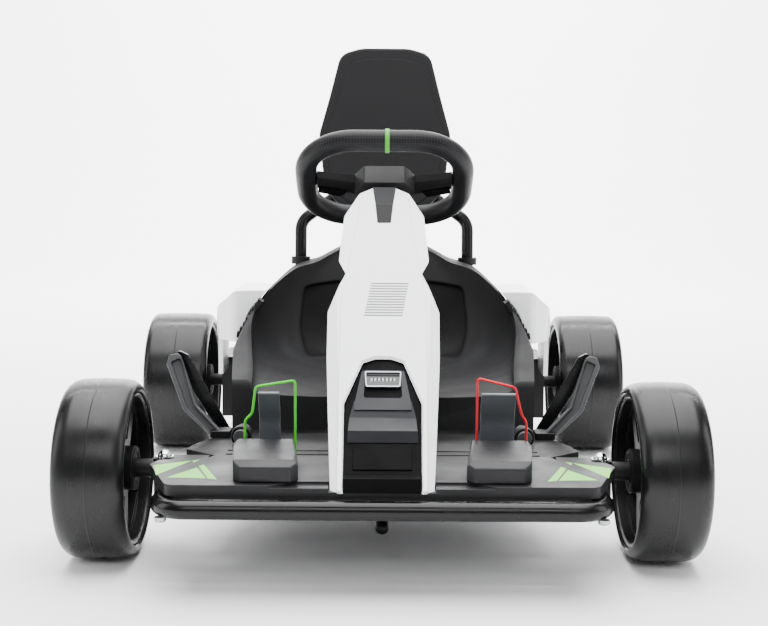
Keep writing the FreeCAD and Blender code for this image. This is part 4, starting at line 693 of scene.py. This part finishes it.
def rounded_loop(half_wide, half_high, upper, lower, count):
    """Rectangle with two corner radii, evenly spaced; gives points and outward normals."""
    arcs = []
    for cx, cy, start, radius in ((1, 1, 0, upper), (-1, 1, 1, upper), (-1, -1, 2, lower),
                                  (1, -1, 3, lower)):
        turn = np.linspace(start * np.pi / 2, (start + 1) * np.pi / 2, 60)
        middle = np.array([cx * (half_wide - radius), cy * (half_high - radius)])
        arcs.append(middle + radius * np.stack([np.cos(turn), np.sin(turn)], axis=1))
    loop, wanted = evenly(np.vstack(arcs + [arcs[0][:1]]), count, closed=True)
    step = np.roll(loop, -1, axis=0) - np.roll(loop, 1, axis=0)
    step /= np.linalg.norm(step, axis=1, keepdims=True)
    return loop, np.stack([step[:, 1], -step[:, 0]], axis=1), wanted


loop, outward, travelled = rounded_loop(GRIP_HALF_WIDE, GRIP_HALF_HIGH, UPPER_CORNER,
                                        LOWER_CORNER, GRIP_RINGS)
turn = np.linspace(0, 2 * np.pi, AROUND_GRIP, endpoint=False)
hand = (np.exp(-((loop[:, 1] - SWELL_HEIGHT) / SWELL_LENGTH) ** 2)
        * (np.abs(loop[:, 0]) > SWELL_SIDE))
thick = GRIP_RADIUS + SWELL * hand
plane = loop[:, None, :] + outward[:, None, :] * (thick[:, None] * np.cos(turn))[..., None]
lift = thick[:, None] * np.sin(turn)
grip_points = (HUB + plane[..., :1] * WHEEL_ACROSS + plane[..., 1:] * WHEEL_UP
               + lift[..., None] * SHAFT_UP)
uv = np.stack([np.broadcast_to(travelled[:, None], lift.shape),
               np.broadcast_to(turn * WRAP_RADIUS, lift.shape)], axis=-1)
grip = put_mesh("grip_foam", grip_points, grid_faces(len(loop), AROUND_GRIP, True, True), 60, uv)
print("grip runs", round(float(travelled[-1]), 3), "m")

# %% Grip's woven film
THREAD_MM = 2.6
WEAVE_DEPTH_MM = 0.15
woven, shader = new_material("polyurethane_foamed_woven_film", "0c0c0d", 0.4, 0.18)
surface = add(woven, "UVMap", {"uv_map": "UVMap"}).outputs["UV"]
slanted = add(woven, "Mapping", {"Rotation": (0.0, 0.0, math.radians(45))}, {"Vector": surface})
weave = add(woven, "TexChecker", {"Scale": 1 / (THREAD_MM * MM), "Color1": colour("09090a"),
                                  "Color2": colour("1b1b1d")},
            {"Vector": slanted.outputs["Vector"]})
sheen = add(woven, "MapRange", {"To Min": 0.50, "To Max": 0.32}, {"Value": weave.outputs["Fac"]})
raised = add(woven, "Bump", {"Strength": 0.3, "Distance": WEAVE_DEPTH_MM * MM},
             {"Height": weave.outputs["Fac"]})
feed(woven, shader, {"Base Color": weave.outputs["Color"], "Roughness": sheen.outputs["Result"],
                     "Normal": raised.outputs["Normal"]})
placed(grip, woven, "steering_rim", ["steering_rim"])
print("weave of", THREAD_MM, "mm threads")

# %% [markdown]
# ## Flat pieces on a slope, and turned ones
# Panels, stripes and films are flat pieces on a sloping face. Each is an outline in that face's own
# plane, carried along the normal between two heights. Caps, nuts and rings are profiles turned
# round an axis of any direction. Both come straight from arrays, so nothing has to be fitted.

# %% Slabs and spun pieces
SLAB_EDGE_DEGREES = 40.0


def in_plane(outline, plane):
    """Outline in mm laid in a plane (origin, across, up), and the plane's normal."""
    outline = np.asarray(outline, dtype=float) * MM
    origin, across, up = (np.asarray(part, dtype=float) for part in plane)
    return origin + outline[:, :1] * across + outline[:, 1:] * up, np.cross(across, up)


def slab(name, outline, plane, low, high, bevel, material, node, stands_for=()):
    """Outline in a plane, in mm, carried along the normal from low to high, and placed."""
    flat, normal = in_plane(outline, plane)
    count = len(flat)
    ring = np.arange(count)
    following = np.roll(ring, -1)
    sides = np.stack([ring, following, following + count, ring + count], axis=1).tolist()
    thing = put_mesh(name, np.vstack([flat + low * MM * normal, flat + high * MM * normal]),
                     sides + [ring[::-1].tolist(), (ring + count).tolist()])
    if bevel:
        round_edges(thing, bevel, 2, SLAB_EDGE_DEGREES)
    return placed(thing, material, node, stands_for)


def rectangle(left, right, low, high):
    """The four corners of a rectangle."""
    return [(left, low), (right, low), (right, high), (left, high)]


def rounded_corners(corners, cut, steps=6):
    """Each corner gives way to a parabola that starts and ends a cut's length away from it."""
    corners = np.asarray(corners, dtype=float)
    before = np.roll(corners, 1, axis=0) - corners
    after = np.roll(corners, -1, axis=0) - corners
    to_start, to_end = (side * np.minimum(cut / np.linalg.norm(side, axis=1), 0.45)[:, None]
                        for side in (before, after))
    t = np.linspace(0, 1, steps)[None, :, None]
    curve = corners[:, None] + (1 - t) ** 2 * to_start[:, None] + t ** 2 * to_end[:, None]
    return curve.reshape(-1, 2)


def mirrored_outline(right_half):
    """Whole outline from its right half, which runs from top to bottom."""
    right_half = np.asarray(right_half, dtype=float)
    return np.vstack([right_half, right_half[::-1] * [-1, 1]])


def spun(name, profile, foot, axis, material, node, turns=32, sharp_degrees=35.0):
    """Profile of (height along the axis, radius) in mm, turned round the axis, and placed."""
    profile = np.asarray(profile, dtype=float) * MM
    axis = np.asarray(axis, dtype=float) / np.linalg.norm(axis)
    helper = np.eye(3)[np.argmin(np.abs(axis))]
    side = np.cross(axis, helper)
    side /= np.linalg.norm(side)
    other = np.cross(axis, side)
    angle = np.linspace(0, 2 * np.pi, turns, endpoint=False)[:, None, None]
    points = (np.asarray(foot, dtype=float) + profile[None, :, :1] * axis
              + profile[None, :, 1:] * (np.cos(angle) * side + np.sin(angle) * other))
    faces = grid_faces(turns, len(profile), closed_rows=True)
    return placed(put_mesh(name, points, faces, sharp_degrees), material, node)


print("slabs and spun pieces ready")

# %% [markdown]
# ## The nose's layers
# On the real nose a bright front face lies on two cheeks that fall back beside it. The face is one
# sheet with a step all round, open at the bottom where the dark panel sits. It is drawn in the
# plane of the sloping face, with heights in the part's own millimetres turned into lengths along
# the slope.

# %% Front face of the nose
TOE_MM = 120.0
SLOPE_RISE = 0.7112
SLOPE_RUN = 0.7031
SLOPE = ((0.0, -0.4782, 0.120), (1.0, 0.0, 0.0), (0.0, SLOPE_RUN, SLOPE_RISE))
FACE_PROUD = 2.6


def up_slope(outline):
    """Heights above the ground, in mm, become lengths along the sloping face."""
    outline = np.asarray(outline, dtype=float).copy()
    outline[:, 1] = (outline[:, 1] - TOE_MM) / SLOPE_RISE
    return outline


def nose_outline(right_half, cut=0.0):
    """Whole outline on the sloping face, from its right half as (across, height)."""
    outline = up_slope(mirrored_outline(right_half))
    return rounded_corners(outline, cut) if cut else outline


face_right = [(17.5, 450.0), (33.0, 437.0), (34.5, 417.0), (46.5, 350.0), (54.0, 312.0),
              (52.5, 215.0), (51.0, 121.0), (43.8, 121.0), (46.0, 204.5), (24.6, 247.6),
              (9.5, 252.0)]
face = slab("nose_face", nose_outline(face_right), SLOPE, -5.0, FACE_PROUD, 2.2, white_abs,
            "nose_fairing")
print("nose face", len(face.data.vertices), "points")

# %% Strip at the top of the column
# Between the column's tips lies a grey strip that is glossy at its lower end.
gloss_pp = moulded("polypropylene_polished_black", "08080a", "0c0c0e", 0.30, 0.12, depth_mm=0.01,
                   spread=0.03)
channel_grey = moulded("polypropylene_moulded_channel", "2a2a2c", "303032", 0.5, 0.10,
                       depth_mm=0.03)
strip = [(15.6, 451.0), (11.6, 428.0)]
strip_end = [(11.6, 428.0), (8.8, 405.5)]
slab("channel_top", nose_outline(strip), SLOPE, -1.5, FACE_PROUD + 0.3, 0.3, channel_grey,
     "column_channel", ["column_channel"])
slab("channel_end", nose_outline(strip_end, 1.5), SLOPE, -1.5, FACE_PROUD + 0.7, 0.3, gloss_pp,
     "column_channel")
print("strip from", strip[0][1], "to", strip_end[-1][1], "mm")

# %% [markdown]
# ## Printed block of stripes
# A slanted block of thin stripes is printed on the face. Each is a film 0.15 mm thick, so that it
# stays crisp at any distance.

# %% Printed stripes
STRIPES = 13
BLOCK_FOOT_MM = 296.0
PITCH_MM = 3.0
STRIPE_MM = 1.5
SLANT = 0.22
FILM_SUNK, FILM_PROUD = 0.05, 0.15
for index in range(STRIPES):
    low_z = BLOCK_FOOT_MM + index * PITCH_MM
    high_z = low_z + STRIPE_MM
    shift = index * PITCH_MM * SLANT
    stripe = [(-24.0 + shift, low_z), (23.0 + shift, low_z), (23.5 + shift, high_z),
              (-23.5 + shift, high_z)]
    slab(f"nose_stripe_{index}", up_slope(stripe), SLOPE, FACE_PROUD - FILM_SUNK,
         FACE_PROUD + FILM_PROUD, 0.0, grey_print, "nose_fairing")
print("stripes", STRIPES)

# %% [markdown]
# ## The dark panel and its lamp
# The panel is one dark moulding. Its raised faces that look up are painted lighter: painted light
# from above. The copy of the CAD
# solid gets two materials: faces that stand over the base and look up get the lighter one. Inset
# fields and the
# lamp are pieces of their own: a smoked back in a chromed bezel, with a row of small chromed
# reflectors standing on it.

# %% Panel fields
SLOPE_OUT = np.cross(SLOPE[1], SLOPE[2])
FIELD_DEPTH = -0.0006
FIELD_LOW = 0.165


def two_finishes(thing, second, chosen):
    """Second material slot for the faces whose centre and normal meet a condition."""
    mesh = thing.data
    mesh.materials.append(second)
    index = np.where(chosen(vectors(mesh.polygons, "center"), vectors(mesh.polygons, "normal")),
                     1, 0)
    mesh.polygons.foreach_set("material_index", index.astype(np.int32))
    return int(index.sum())


def upward_faces_painted_light(centres, normals):
    """Faces of the frame and of the stepped body that stand over the base and do not look down;
    they get the painted light from above.
    """
    height = (centres - np.array(SLOPE[0])) @ SLOPE_OUT
    return (height > FIELD_DEPTH) & (normals[:, 2] > 0.1) & (centres[:, 2] > FIELD_LOW)


# Faces of the insert that look up get the painted light.
print("raised faces", two_finishes(soft["nose_insert"], panel_painted_light, upward_faces_painted_light))
slab("panel_lower_field", nose_outline([(33.5, 163.0), (33.5, 142.5)]), SLOPE, -3.6, -1.6, 0.8,
     panel_black, "nose_insert")
slab("lamp_recess", nose_outline([(20.4, 233.6), (22.0, 212.0)]), SLOPE, -1.6, -0.8, 0.0,
     panel_black, "nose_insert")

# %% Lamp's bezel and back
BEZEL_OUTER = [(21.6, 236.5), (20.2, 220.6)]
BEZEL_INNER = [(20.3, 235.4), (18.9, 221.8)]
LAMP_BACK = [(20.4, 235.5), (19.0, 221.7)]
LAMP_BACK_TOP = 1.0


def frame_ring(name, outer, inner, plane, low, high):
    """Ring between two outlines of the same count: outer foot, outer top, inner top and foot."""
    loops = []
    for outline, height in ((outer, low), (outer, high), (inner, high), (inner, low)):
        flat, normal = in_plane(outline, plane)
        loops.append(flat + height * MM * normal)
    return put_mesh(name, np.stack(loops), grid_faces(4, len(outer), True, True))


bezel = frame_ring("lamp_bezel", nose_outline(BEZEL_OUTER, 2.5), nose_outline(BEZEL_INNER, 1.8),
                   SLOPE, -0.9, 3.6)
placed(bezel, chrome_dark, "headlamp", ["headlamp"])
smoked_pc = moulded("polycarbonate_moulded_smoked", "0c0d0f", "141619", 0.18, depth_mm=0.01,
                    spread=0.03)
slab("lamp_back", nose_outline(LAMP_BACK), SLOPE, -0.6, LAMP_BACK_TOP, 0.0, smoked_pc, "headlamp")
print("bezel", len(bezel.data.polygons), "faces")

# %% Lamp's reflectors
CELLS = 7
CELL_PITCH = 4.5
CELL_HALF, CELL_LOW, CELL_HIGH = 1.85, 226.8, 230.6
CELL_TAPER = 0.55
CELL_RISE = 1.3
CELL_QUADS = [[0, 1, 5, 4], [1, 2, 6, 5], [2, 3, 7, 6], [3, 0, 4, 7], [4, 5, 6, 7], [3, 2, 1, 0]]
cell_points = []
cell_faces = []
for index in range(CELLS):
    middle_x = (index - (CELLS - 1) / 2) * CELL_PITCH
    base, _ = in_plane(up_slope(rectangle(middle_x - CELL_HALF, middle_x + CELL_HALF, CELL_LOW,
                                          CELL_HIGH)), SLOPE)
    middle = base.mean(axis=0)
    top = middle + (base - middle) * CELL_TAPER + CELL_RISE * MM * SLOPE_OUT
    cell_points.append(np.vstack([base, top]) + LAMP_BACK_TOP * MM * SLOPE_OUT)
    cell_faces += [[index * 8 + corner for corner in quad] for quad in CELL_QUADS]
cells = put_mesh("lamp_cells", np.vstack(cell_points), cell_faces)
placed(cells, chrome_dark, "headlamp")
print("lamp cells", CELLS)

# %% [markdown]
# ## Green films on the deck
# Cut vinyl lies on the deck's corners. The four pieces have the outlines of the right corner, in
# mm from the middle of the kart, and are mirrored for the left one.

# %% Deck films
DECK_MM = 127.0
FILMS = [
    [(-270.2, -380.0), (-228.8, -354.2), (-258.2, -428.5)],
    [(-244.0, -438.6), (-217.4, -390.0), (-199.3, -442.0)],
    [(-216.2, -382.4), (-211.4, -374.6), (-186.4, -446.3), (-197.1, -442.2)],
    [(-227.6, -354.2), (-220.0, -348.6), (-224.8, -364.6)],
]


def level_plane(height_mm):
    """Plane with its origin in the kart's middle at a height, for slabs drawn in plan."""
    return ((0.0, 0.0, height_mm * MM), (1.0, 0.0, 0.0), (0.0, 1.0, 0.0))


for index, outline in enumerate(FILMS):
    for side, name in ((1, "right"), (-1, "left")):
        slab(f"deck_film_{index}_{name}", np.asarray(outline) * [side, 1], level_plane(DECK_MM),
             0.02, 0.25, 0.0, green_vinyl, "front_deck")
print("films", 2 * len(FILMS))

# %% [markdown]
# ## Small parts on floor and deck
# Ribs stiffen the floor in front of the seat, a black socket holds each side guard's foot, a short
# grey tube with a black clip lies beside each pedal, and dome-headed screws show under the bumper.

# %% Ribs
FLOOR_MM = 121.5
RIB_LINES = (-293.0, -315.0, -337.0, -271.0)
RIB_INNER, RIB_OUTER, RIB_HALF = 62.0, 196.0, 1.6
for index, line in enumerate(RIB_LINES):
    for side, name in SIDES:
        rib = rectangle(side * RIB_INNER, side * RIB_OUTER, line - RIB_HALF, line + RIB_HALF)
        slab(f"floor_rib_{index}_{name}", rib, level_plane(FLOOR_MM), -0.5, 1.1, 0.6, black_pp,
             "floor_pan")
print("ribs", len(RIB_LINES) * 2)

# %% Sockets, tubes, clips, screws
GUARD_FOOT_X = 216.0
SOCKET_HALF = 14
TUBE_X, TUBE_LINE, TUBE_LIFT = 0.184, -0.236, 0.0095
SCREW_PLACE = (0.245, -0.478, 0.0925)
# Profiles of (height along the axis, radius) in mm.
TUBE = [(0, 0), (0, 8.6), (1, 9.4), (44, 9.4), (45, 8.6), (45, 0)]
CLIP = [(6, 9.0), (6, 12.4), (7, 13.2), (17, 13.2), (18, 12.4), (18, 9.0), (6, 9.0)]
DOME = [(0, 6.6), (-3.6, 6.6), (-5.2, 5.6), (-6.0, 3.6), (-6.4, 0)]
for side, name in SIDES:
    foot_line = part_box(f"side_guard_{name}")[0][1] / MM + 10
    foot_x = side * GUARD_FOOT_X
    socket = rounded_corners(rectangle(foot_x - SOCKET_HALF, foot_x + SOCKET_HALF,
                                       foot_line - 12, foot_line + 16), 4)
    slab(f"guard_socket_{name}", socket, level_plane(FLOOR_MM), -0.5, 9.0, 1.2, black_pp,
         "floor_pan")
    tube_foot = (side * TUBE_X, TUBE_LINE, FLOOR_MM * MM + TUBE_LIFT)
    spun(f"floor_tube_{name}", TUBE, tube_foot, (0, 1, 0), strut_grey, "floor_pan")
    spun(f"floor_clip_{name}", CLIP, tube_foot, (0, 1, 0), black_pp, "floor_pan")
    screw_place = (side * SCREW_PLACE[0], *SCREW_PLACE[1:])
    spun(f"bumper_screw_{name}", DOME, screw_place, (0, 0, 1), zinc, "front_bumper")
print("small parts", 4 * len(SIDES))

# %% [markdown]
# ## Wire guards
# The guards are thin bent wire. The solid is thicker than the wire looks, so the scene's own wire
# runs along the same middle line. A circle is carried along the line in a frame made from the
# line's direction and the normal of the plane that the wire lies in.

# %% Wires
WIRE_RADIUS = 0.0016
WIRE_SIDES = 14
WIRE_BEND = 5.0
WIRE_FOOT = DECK_MM + 0.3
PEDAL_MIDDLE = 131.0


def wire(name, corners, line):
    """Circle carried along a rounded line in an upright plane; corners are (x, z) in mm."""
    corners = np.asarray(corners, dtype=float)
    inner = rounded_corners(corners, WIRE_BEND, 8)[8:-8]
    path = np.vstack([corners[:1], inner, corners[-1:]]) * MM
    forward_way = np.gradient(path, axis=0)
    forward_way /= np.linalg.norm(forward_way, axis=1, keepdims=True)
    sideways = np.stack([forward_way[:, 1], -forward_way[:, 0]], axis=1)
    angle = np.linspace(0, 2 * np.pi, WIRE_SIDES, endpoint=False)
    reach = WIRE_RADIUS * np.cos(angle)
    points = np.empty((len(path), WIRE_SIDES, 3))
    points[..., 0] = path[:, None, 0] + reach * sideways[:, None, 0]
    points[..., 1] = line + WIRE_RADIUS * np.sin(angle)
    points[..., 2] = path[:, None, 1] + reach * sideways[:, None, 1]
    last = (len(path) - 1) * WIRE_SIDES
    caps = [list(range(WIRE_SIDES))[::-1], list(range(last, last + WIRE_SIDES))]
    faces = grid_faces(len(path), WIRE_SIDES, closed_columns=True) + caps
    return put_mesh(name, points, faces, 60)


WIRES = [
    # guard, middle, finish, corners from its middle and from the deck
    ("throttle_guard", -PEDAL_MIDDLE, green_enamel, [(-36, 46), (-27, 54), (-23, 87), (25, 95)]),
    ("brake_guard", PEDAL_MIDDLE, red_enamel, [(-17, 99), (29, 88), (37, 54), (43, 46)]),
]
for node, middle, material, bends in WIRES:
    low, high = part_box(node)
    corners = [(middle + x, DECK_MM + z) for x, z in bends]
    corners = [(corners[0][0], WIRE_FOOT)] + corners + [(corners[-1][0], WIRE_FOOT)]
    placed(wire(node + "_wire", corners, (low[1] + high[1]) / 2), material, node, [node])
print("wires", len(WIRES))

# %% [markdown]
# ## Backrest field
# The shield has a raised field inside a lip. The field's outline is the shield's own, drawn in.

# %% Backrest field
BACK_LEAN = math.radians(8)
BACK_UP = np.array([0.0, math.sin(BACK_LEAN), math.cos(BACK_LEAN)])
BACK_OUT = np.cross((1.0, 0.0, 0.0), BACK_UP)
BACK_FOOT = 0.406
BACK_TALL = 274.0
BACK_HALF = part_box("seat_back")[1][0] / MM
# Right half from the foot up, as shares of the half width and of the height.
BACK_OUTLINE = np.array([(0.60, 0.0), (0.90, 0.13), (1.0, 0.46), (0.84, 0.70), (0.68, 0.962),
                         (0.36, 1.0)])
LIP_SIDE, LIP_FOOT, LIP_TOP = 11, 12, 14
outline = np.stack([BACK_HALF * BACK_OUTLINE[:, 0] - LIP_SIDE,
                    LIP_FOOT + (BACK_TALL - LIP_FOOT - LIP_TOP) * BACK_OUTLINE[:, 1]], axis=1)
outline = rounded_corners(mirrored_outline(outline[::-1]), 22, 8)
front_most = (vectors(nodes["seat_back"].data.vertices, "co") @ BACK_OUT).max()
foot_y = (front_most - BACK_FOOT * BACK_OUT[2]) / BACK_OUT[1]
BACK_PLANE = ((0.0, foot_y, BACK_FOOT), (1.0, 0.0, 0.0), BACK_UP)
slab("backrest_field", outline, BACK_PLANE, -2.0, 1.6, 1.2, shield_pp, "seat_back")
print("field", round(float(outline[:, 0].max()), 1), "mm half wide")

# %% [markdown]
# ## Hub of the steering wheel
# The spokes of the hub are painted darker than its boss, as painted shade; two paddles stand behind
# them, and a narrow green ring is let into the grip a little to one side.

# %% Hub, paddles, ring
BOSS_SIDE = 0.046
PADDLES_BEHIND = 0.006
RING_SHIFT = 0.0035


def spokes_in_painted_shade(centres, normals):
    """Faces of the two spokes, further out than the boss; they get the painted shade."""
    return np.abs(centres[:, 0]) > BOSS_SIDE


# The spokes get the darkest plastic as painted shade.
print("spoke faces", two_finishes(soft["steering_hub"], panel_black, spokes_in_painted_shade))
WHEEL_PLANE = (HUB, WHEEL_ACROSS, WHEEL_UP)
PADDLE_PLANE = (HUB - PADDLES_BEHIND * SHAFT_UP, WHEEL_ACROSS, WHEEL_UP)
boss = rounded_corners(mirrored_outline([(25.5, 23.5), (39.0, 5.5), (30.0, -21.0)]), 3)
slab("hub_plate", boss, WHEEL_PLANE, 2.0, 5.6, 1.4, hub_grey, "steering_hub")
PADDLE = np.array([(52, -12), (92, -3), (93, -15), (60, -25)])
for side, name in SIDES:
    paddle = rounded_corners(PADDLE * [side, 1], 3)
    slab(f"hub_paddle_{name}", paddle, PADDLE_PLANE, -7.0, -1.0, 1.0, panel_black,
         "steering_hub")
ring_profile = np.array([(-2.9, 15.2), (-2.9, 15.7), (-2.4, 16.1), (2.4, 16.1), (2.9, 15.7),
                         (2.9, 15.2)])
ring_centre = HUB + GRIP_HALF_HIGH * WHEEL_UP + np.array([RING_SHIFT, 0.0, 0.0])
ring = turned("grip_ring", ring_profile * MM, ring_centre, 48)
placed(ring, green_ring, "rim_band", ["rim_band"])
print("ring", ring.name)

# %% [markdown]
# ## Wheel details
# Each wheel has a rolled bead at both edges of its barrel, a seal round the axle on its inner side,
# and a domed cap with five screws on its outer side.

# %% Beads, seals, caps, screws
seal_rubber = moulded("rubber_moulded_black", "060607", "0a0a0b", 0.72, 0.1, depth_mm=0.03)
RIM_INSET = 5.0
SCREWS = 5
SCREW_CIRCLE = 21.0
WHEELS = [
    # end, wheel width, seat radius, seal's inner radius, in mm
    ("front", 85.0, 94.0, 12.0), ("rear", 104.0, 98.0, 11.0),
]
# Bead: (outward from the barrel's edge, up from the tyre's seat). The others: (height, radius).
BEAD = np.array([(0.0, -0.3), (0.9, -0.6), (1.5, -1.6), (1.5, -3.4), (0.9, -4.6), (0.0, -5.0),
                 (-1.2, -3.0)])
CAP = [(-0.5, 0.0), (-0.5, 15.5), (1.6, 15.5), (3.2, 14.0), (4.0, 10.0), (4.4, 5.0), (4.5, 0.0)]
SEAL = [(-0.4, 26.6), (0.5, 26.6), (0.9, 25.6), (0.9, 20.0), (0.2, 19.0), (0.2, 16.0), (1.1, 15.2)]
HEAD = [(-0.5, 0.0), (-0.5, 3.6), (1.6, 3.6), (2.2, 3.0), (2.2, 1.5), (1.0, 1.3), (1.0, 0.0)]
for end, width, seat_radius, axle_radius in WHEELS:
    half = width / 2 - RIM_INSET
    for side, name in SIDES:
        centre = np.array(wheel_centres[end, name])
        node = f"{end}_rim_{name}"
        for face_side, where in ((1, "outer"), (-1, "inner")):
            profile = np.stack([side * face_side * (half + BEAD[:, 0]), seat_radius + BEAD[:, 1]],
                               axis=1) * MM
            bead = turned(f"{end}_bead_{where}_{name}", profile, centre, 96)
            placed(bead, gloss_coat, node)
        out = np.array([side, 0.0, 0.0])
        outer_face = centre + half * MM * out
        inner_face = centre - half * MM * out
        spun(f"{end}_cap_{name}", CAP, outer_face, out, rim_pp, node, 40)
        seal = [(-0.4, axle_radius), *SEAL, (1.1, axle_radius), (-0.4, axle_radius)]
        spun(f"{end}_seal_{name}", seal, inner_face, -out, seal_rubber, node, 48)
        for index in range(SCREWS):
            turn = 2 * math.pi * (index + 0.5) / SCREWS
            place = outer_face + SCREW_CIRCLE * MM * np.array([0.0, math.cos(turn), math.sin(turn)])
            spun(f"{end}_screw_{name}_{index}", HEAD, place, out, zinc, node, 6, 20)
print("wheels detailed", len(WHEELS) * 2)

# %% [markdown]
# ## Toothed edges of the bucket
# A black toothed strip runs down each shoulder of the bucket in front of the pods. Its teeth are
# stamped from sheet, so one zigzag outline carried along the kart gives it.

# %% Toothed strips
TEETH = 8
STRIP_TOP = np.array([193.5, 273.0])
STRIP_FOOT = np.array([231.0, 214.5])
STRIP_LINE = 0.128
STRIP_PLANE = ((0.0, STRIP_LINE, 0.0), (1.0, 0.0, 0.0), (0.0, 0.0, 1.0))
TOOTH_TIP, TOOTH_ROOT, STRIP_WIDTH = 4.2, 0.6, 5
step = (STRIP_FOOT - STRIP_TOP) / TEETH
out_way = np.array([-step[1], step[0]]) / np.linalg.norm(step)
rows = STRIP_TOP + step * np.arange(TEETH + 1)[:, None]
zigzag = np.stack([rows[:-1] + out_way * TOOTH_TIP, rows[1:] + out_way * TOOTH_ROOT], axis=1)
strip_outline = np.vstack([rows[:1] - out_way * STRIP_WIDTH, zigzag.reshape(-1, 2),
                           rows[-1:] - out_way * STRIP_WIDTH])
for side, name in SIDES:
    slab(f"toothed_strip_{name}", strip_outline * [side, 1], STRIP_PLANE, -26.0, 3.0, 0.5,
         black_pp, "seat_bucket")
print("teeth", 2 * TEETH)

# %% [markdown]
# ## Studio
# The kart stands on a pale floor that curves up into a pale wall, so no horizon shows. A large
# soft box hangs overhead, a smaller one stands high in front and two tall ones at the sides, and a
# wide strip washes the wall behind. Their reflections make the broad soft highlights on the tyres.

# %% Floor and wall
HALF_STUDIO = 30.0
SWEEP = 1.5
WALL_LINE = 3.4


def studio_sweep():
    """A profile along Y: level floor, a quarter circle of radius SWEEP, then a wall going up."""
    angle = np.linspace(0, np.pi / 2, 24)
    arc = np.stack([WALL_LINE + SWEEP * np.sin(angle), SWEEP - SWEEP * np.cos(angle)], axis=1)
    profile = np.vstack([[[-HALF_STUDIO, 0.0]], arc, [[WALL_LINE + SWEEP, HALF_STUDIO]]])
    points = np.empty((len(profile), 2, 3))
    points[..., 0] = [-HALF_STUDIO, HALF_STUDIO]
    points[..., 1:] = profile[:, None, :]
    return put_mesh("studio_sweep", points, grid_faces(len(profile), 2), 60)


paper = moulded("paper_matt_white", "fcfcfc", "ffffff", 0.9, grain_mm=4.0, depth_mm=0.01,
                patch_mm=400.0, spread=0.02)
sweep = studio_sweep()
sweep.data.flip_normals()
dress(sweep, paper)
print("sweep", len(sweep.data.polygons), "faces")

# %% Lights
LIGHTS = [
    # name, place, aim, watts, width, height
    ("overhead", (0.0, -0.2, 2.7), (0.0, -0.1, 0.0), 235, 2.8, 2.8),
    ("front_high", (0.0, -3.0, 2.0), (0.0, 0.0, 0.3), 42, 2.2, 1.0),
    ("side_left", (2.6, -0.7, 1.2), (0.0, 0.0, 0.25), 30, 1.2, 2.0),
    ("side_right", (-2.6, -0.7, 1.2), (0.0, 0.0, 0.25), 30, 1.2, 2.0),
    ("wall_wash", (0.0, 2.2, 3.4), (0.0, 4.8, 0.8), 950, 6.0, 1.0),
]
AIR_STRENGTH = 0.4
for name, place, aim, watts, width, height in LIGHTS:
    light = bpy.data.lights.new(name, "AREA")
    light.shape = "RECTANGLE"
    light.size = width
    light.size_y = height
    light.energy = watts
    lamp = in_scene(name, light)
    facing = (Vector(aim) - Vector(place)).to_track_quat("-Z", "Y").to_matrix().to_4x4()
    lamp.matrix_world = Matrix.Translation(place) @ facing

world = bpy.data.worlds.new("studio_air")
world.use_nodes = True
air = world.node_tree.nodes["Background"]
air.inputs["Color"].default_value = colour("f2f4f7")
air.inputs["Strength"].default_value = AIR_STRENGTH
bpy.context.scene.world = world
print("lights", [entry[0] for entry in LIGHTS])
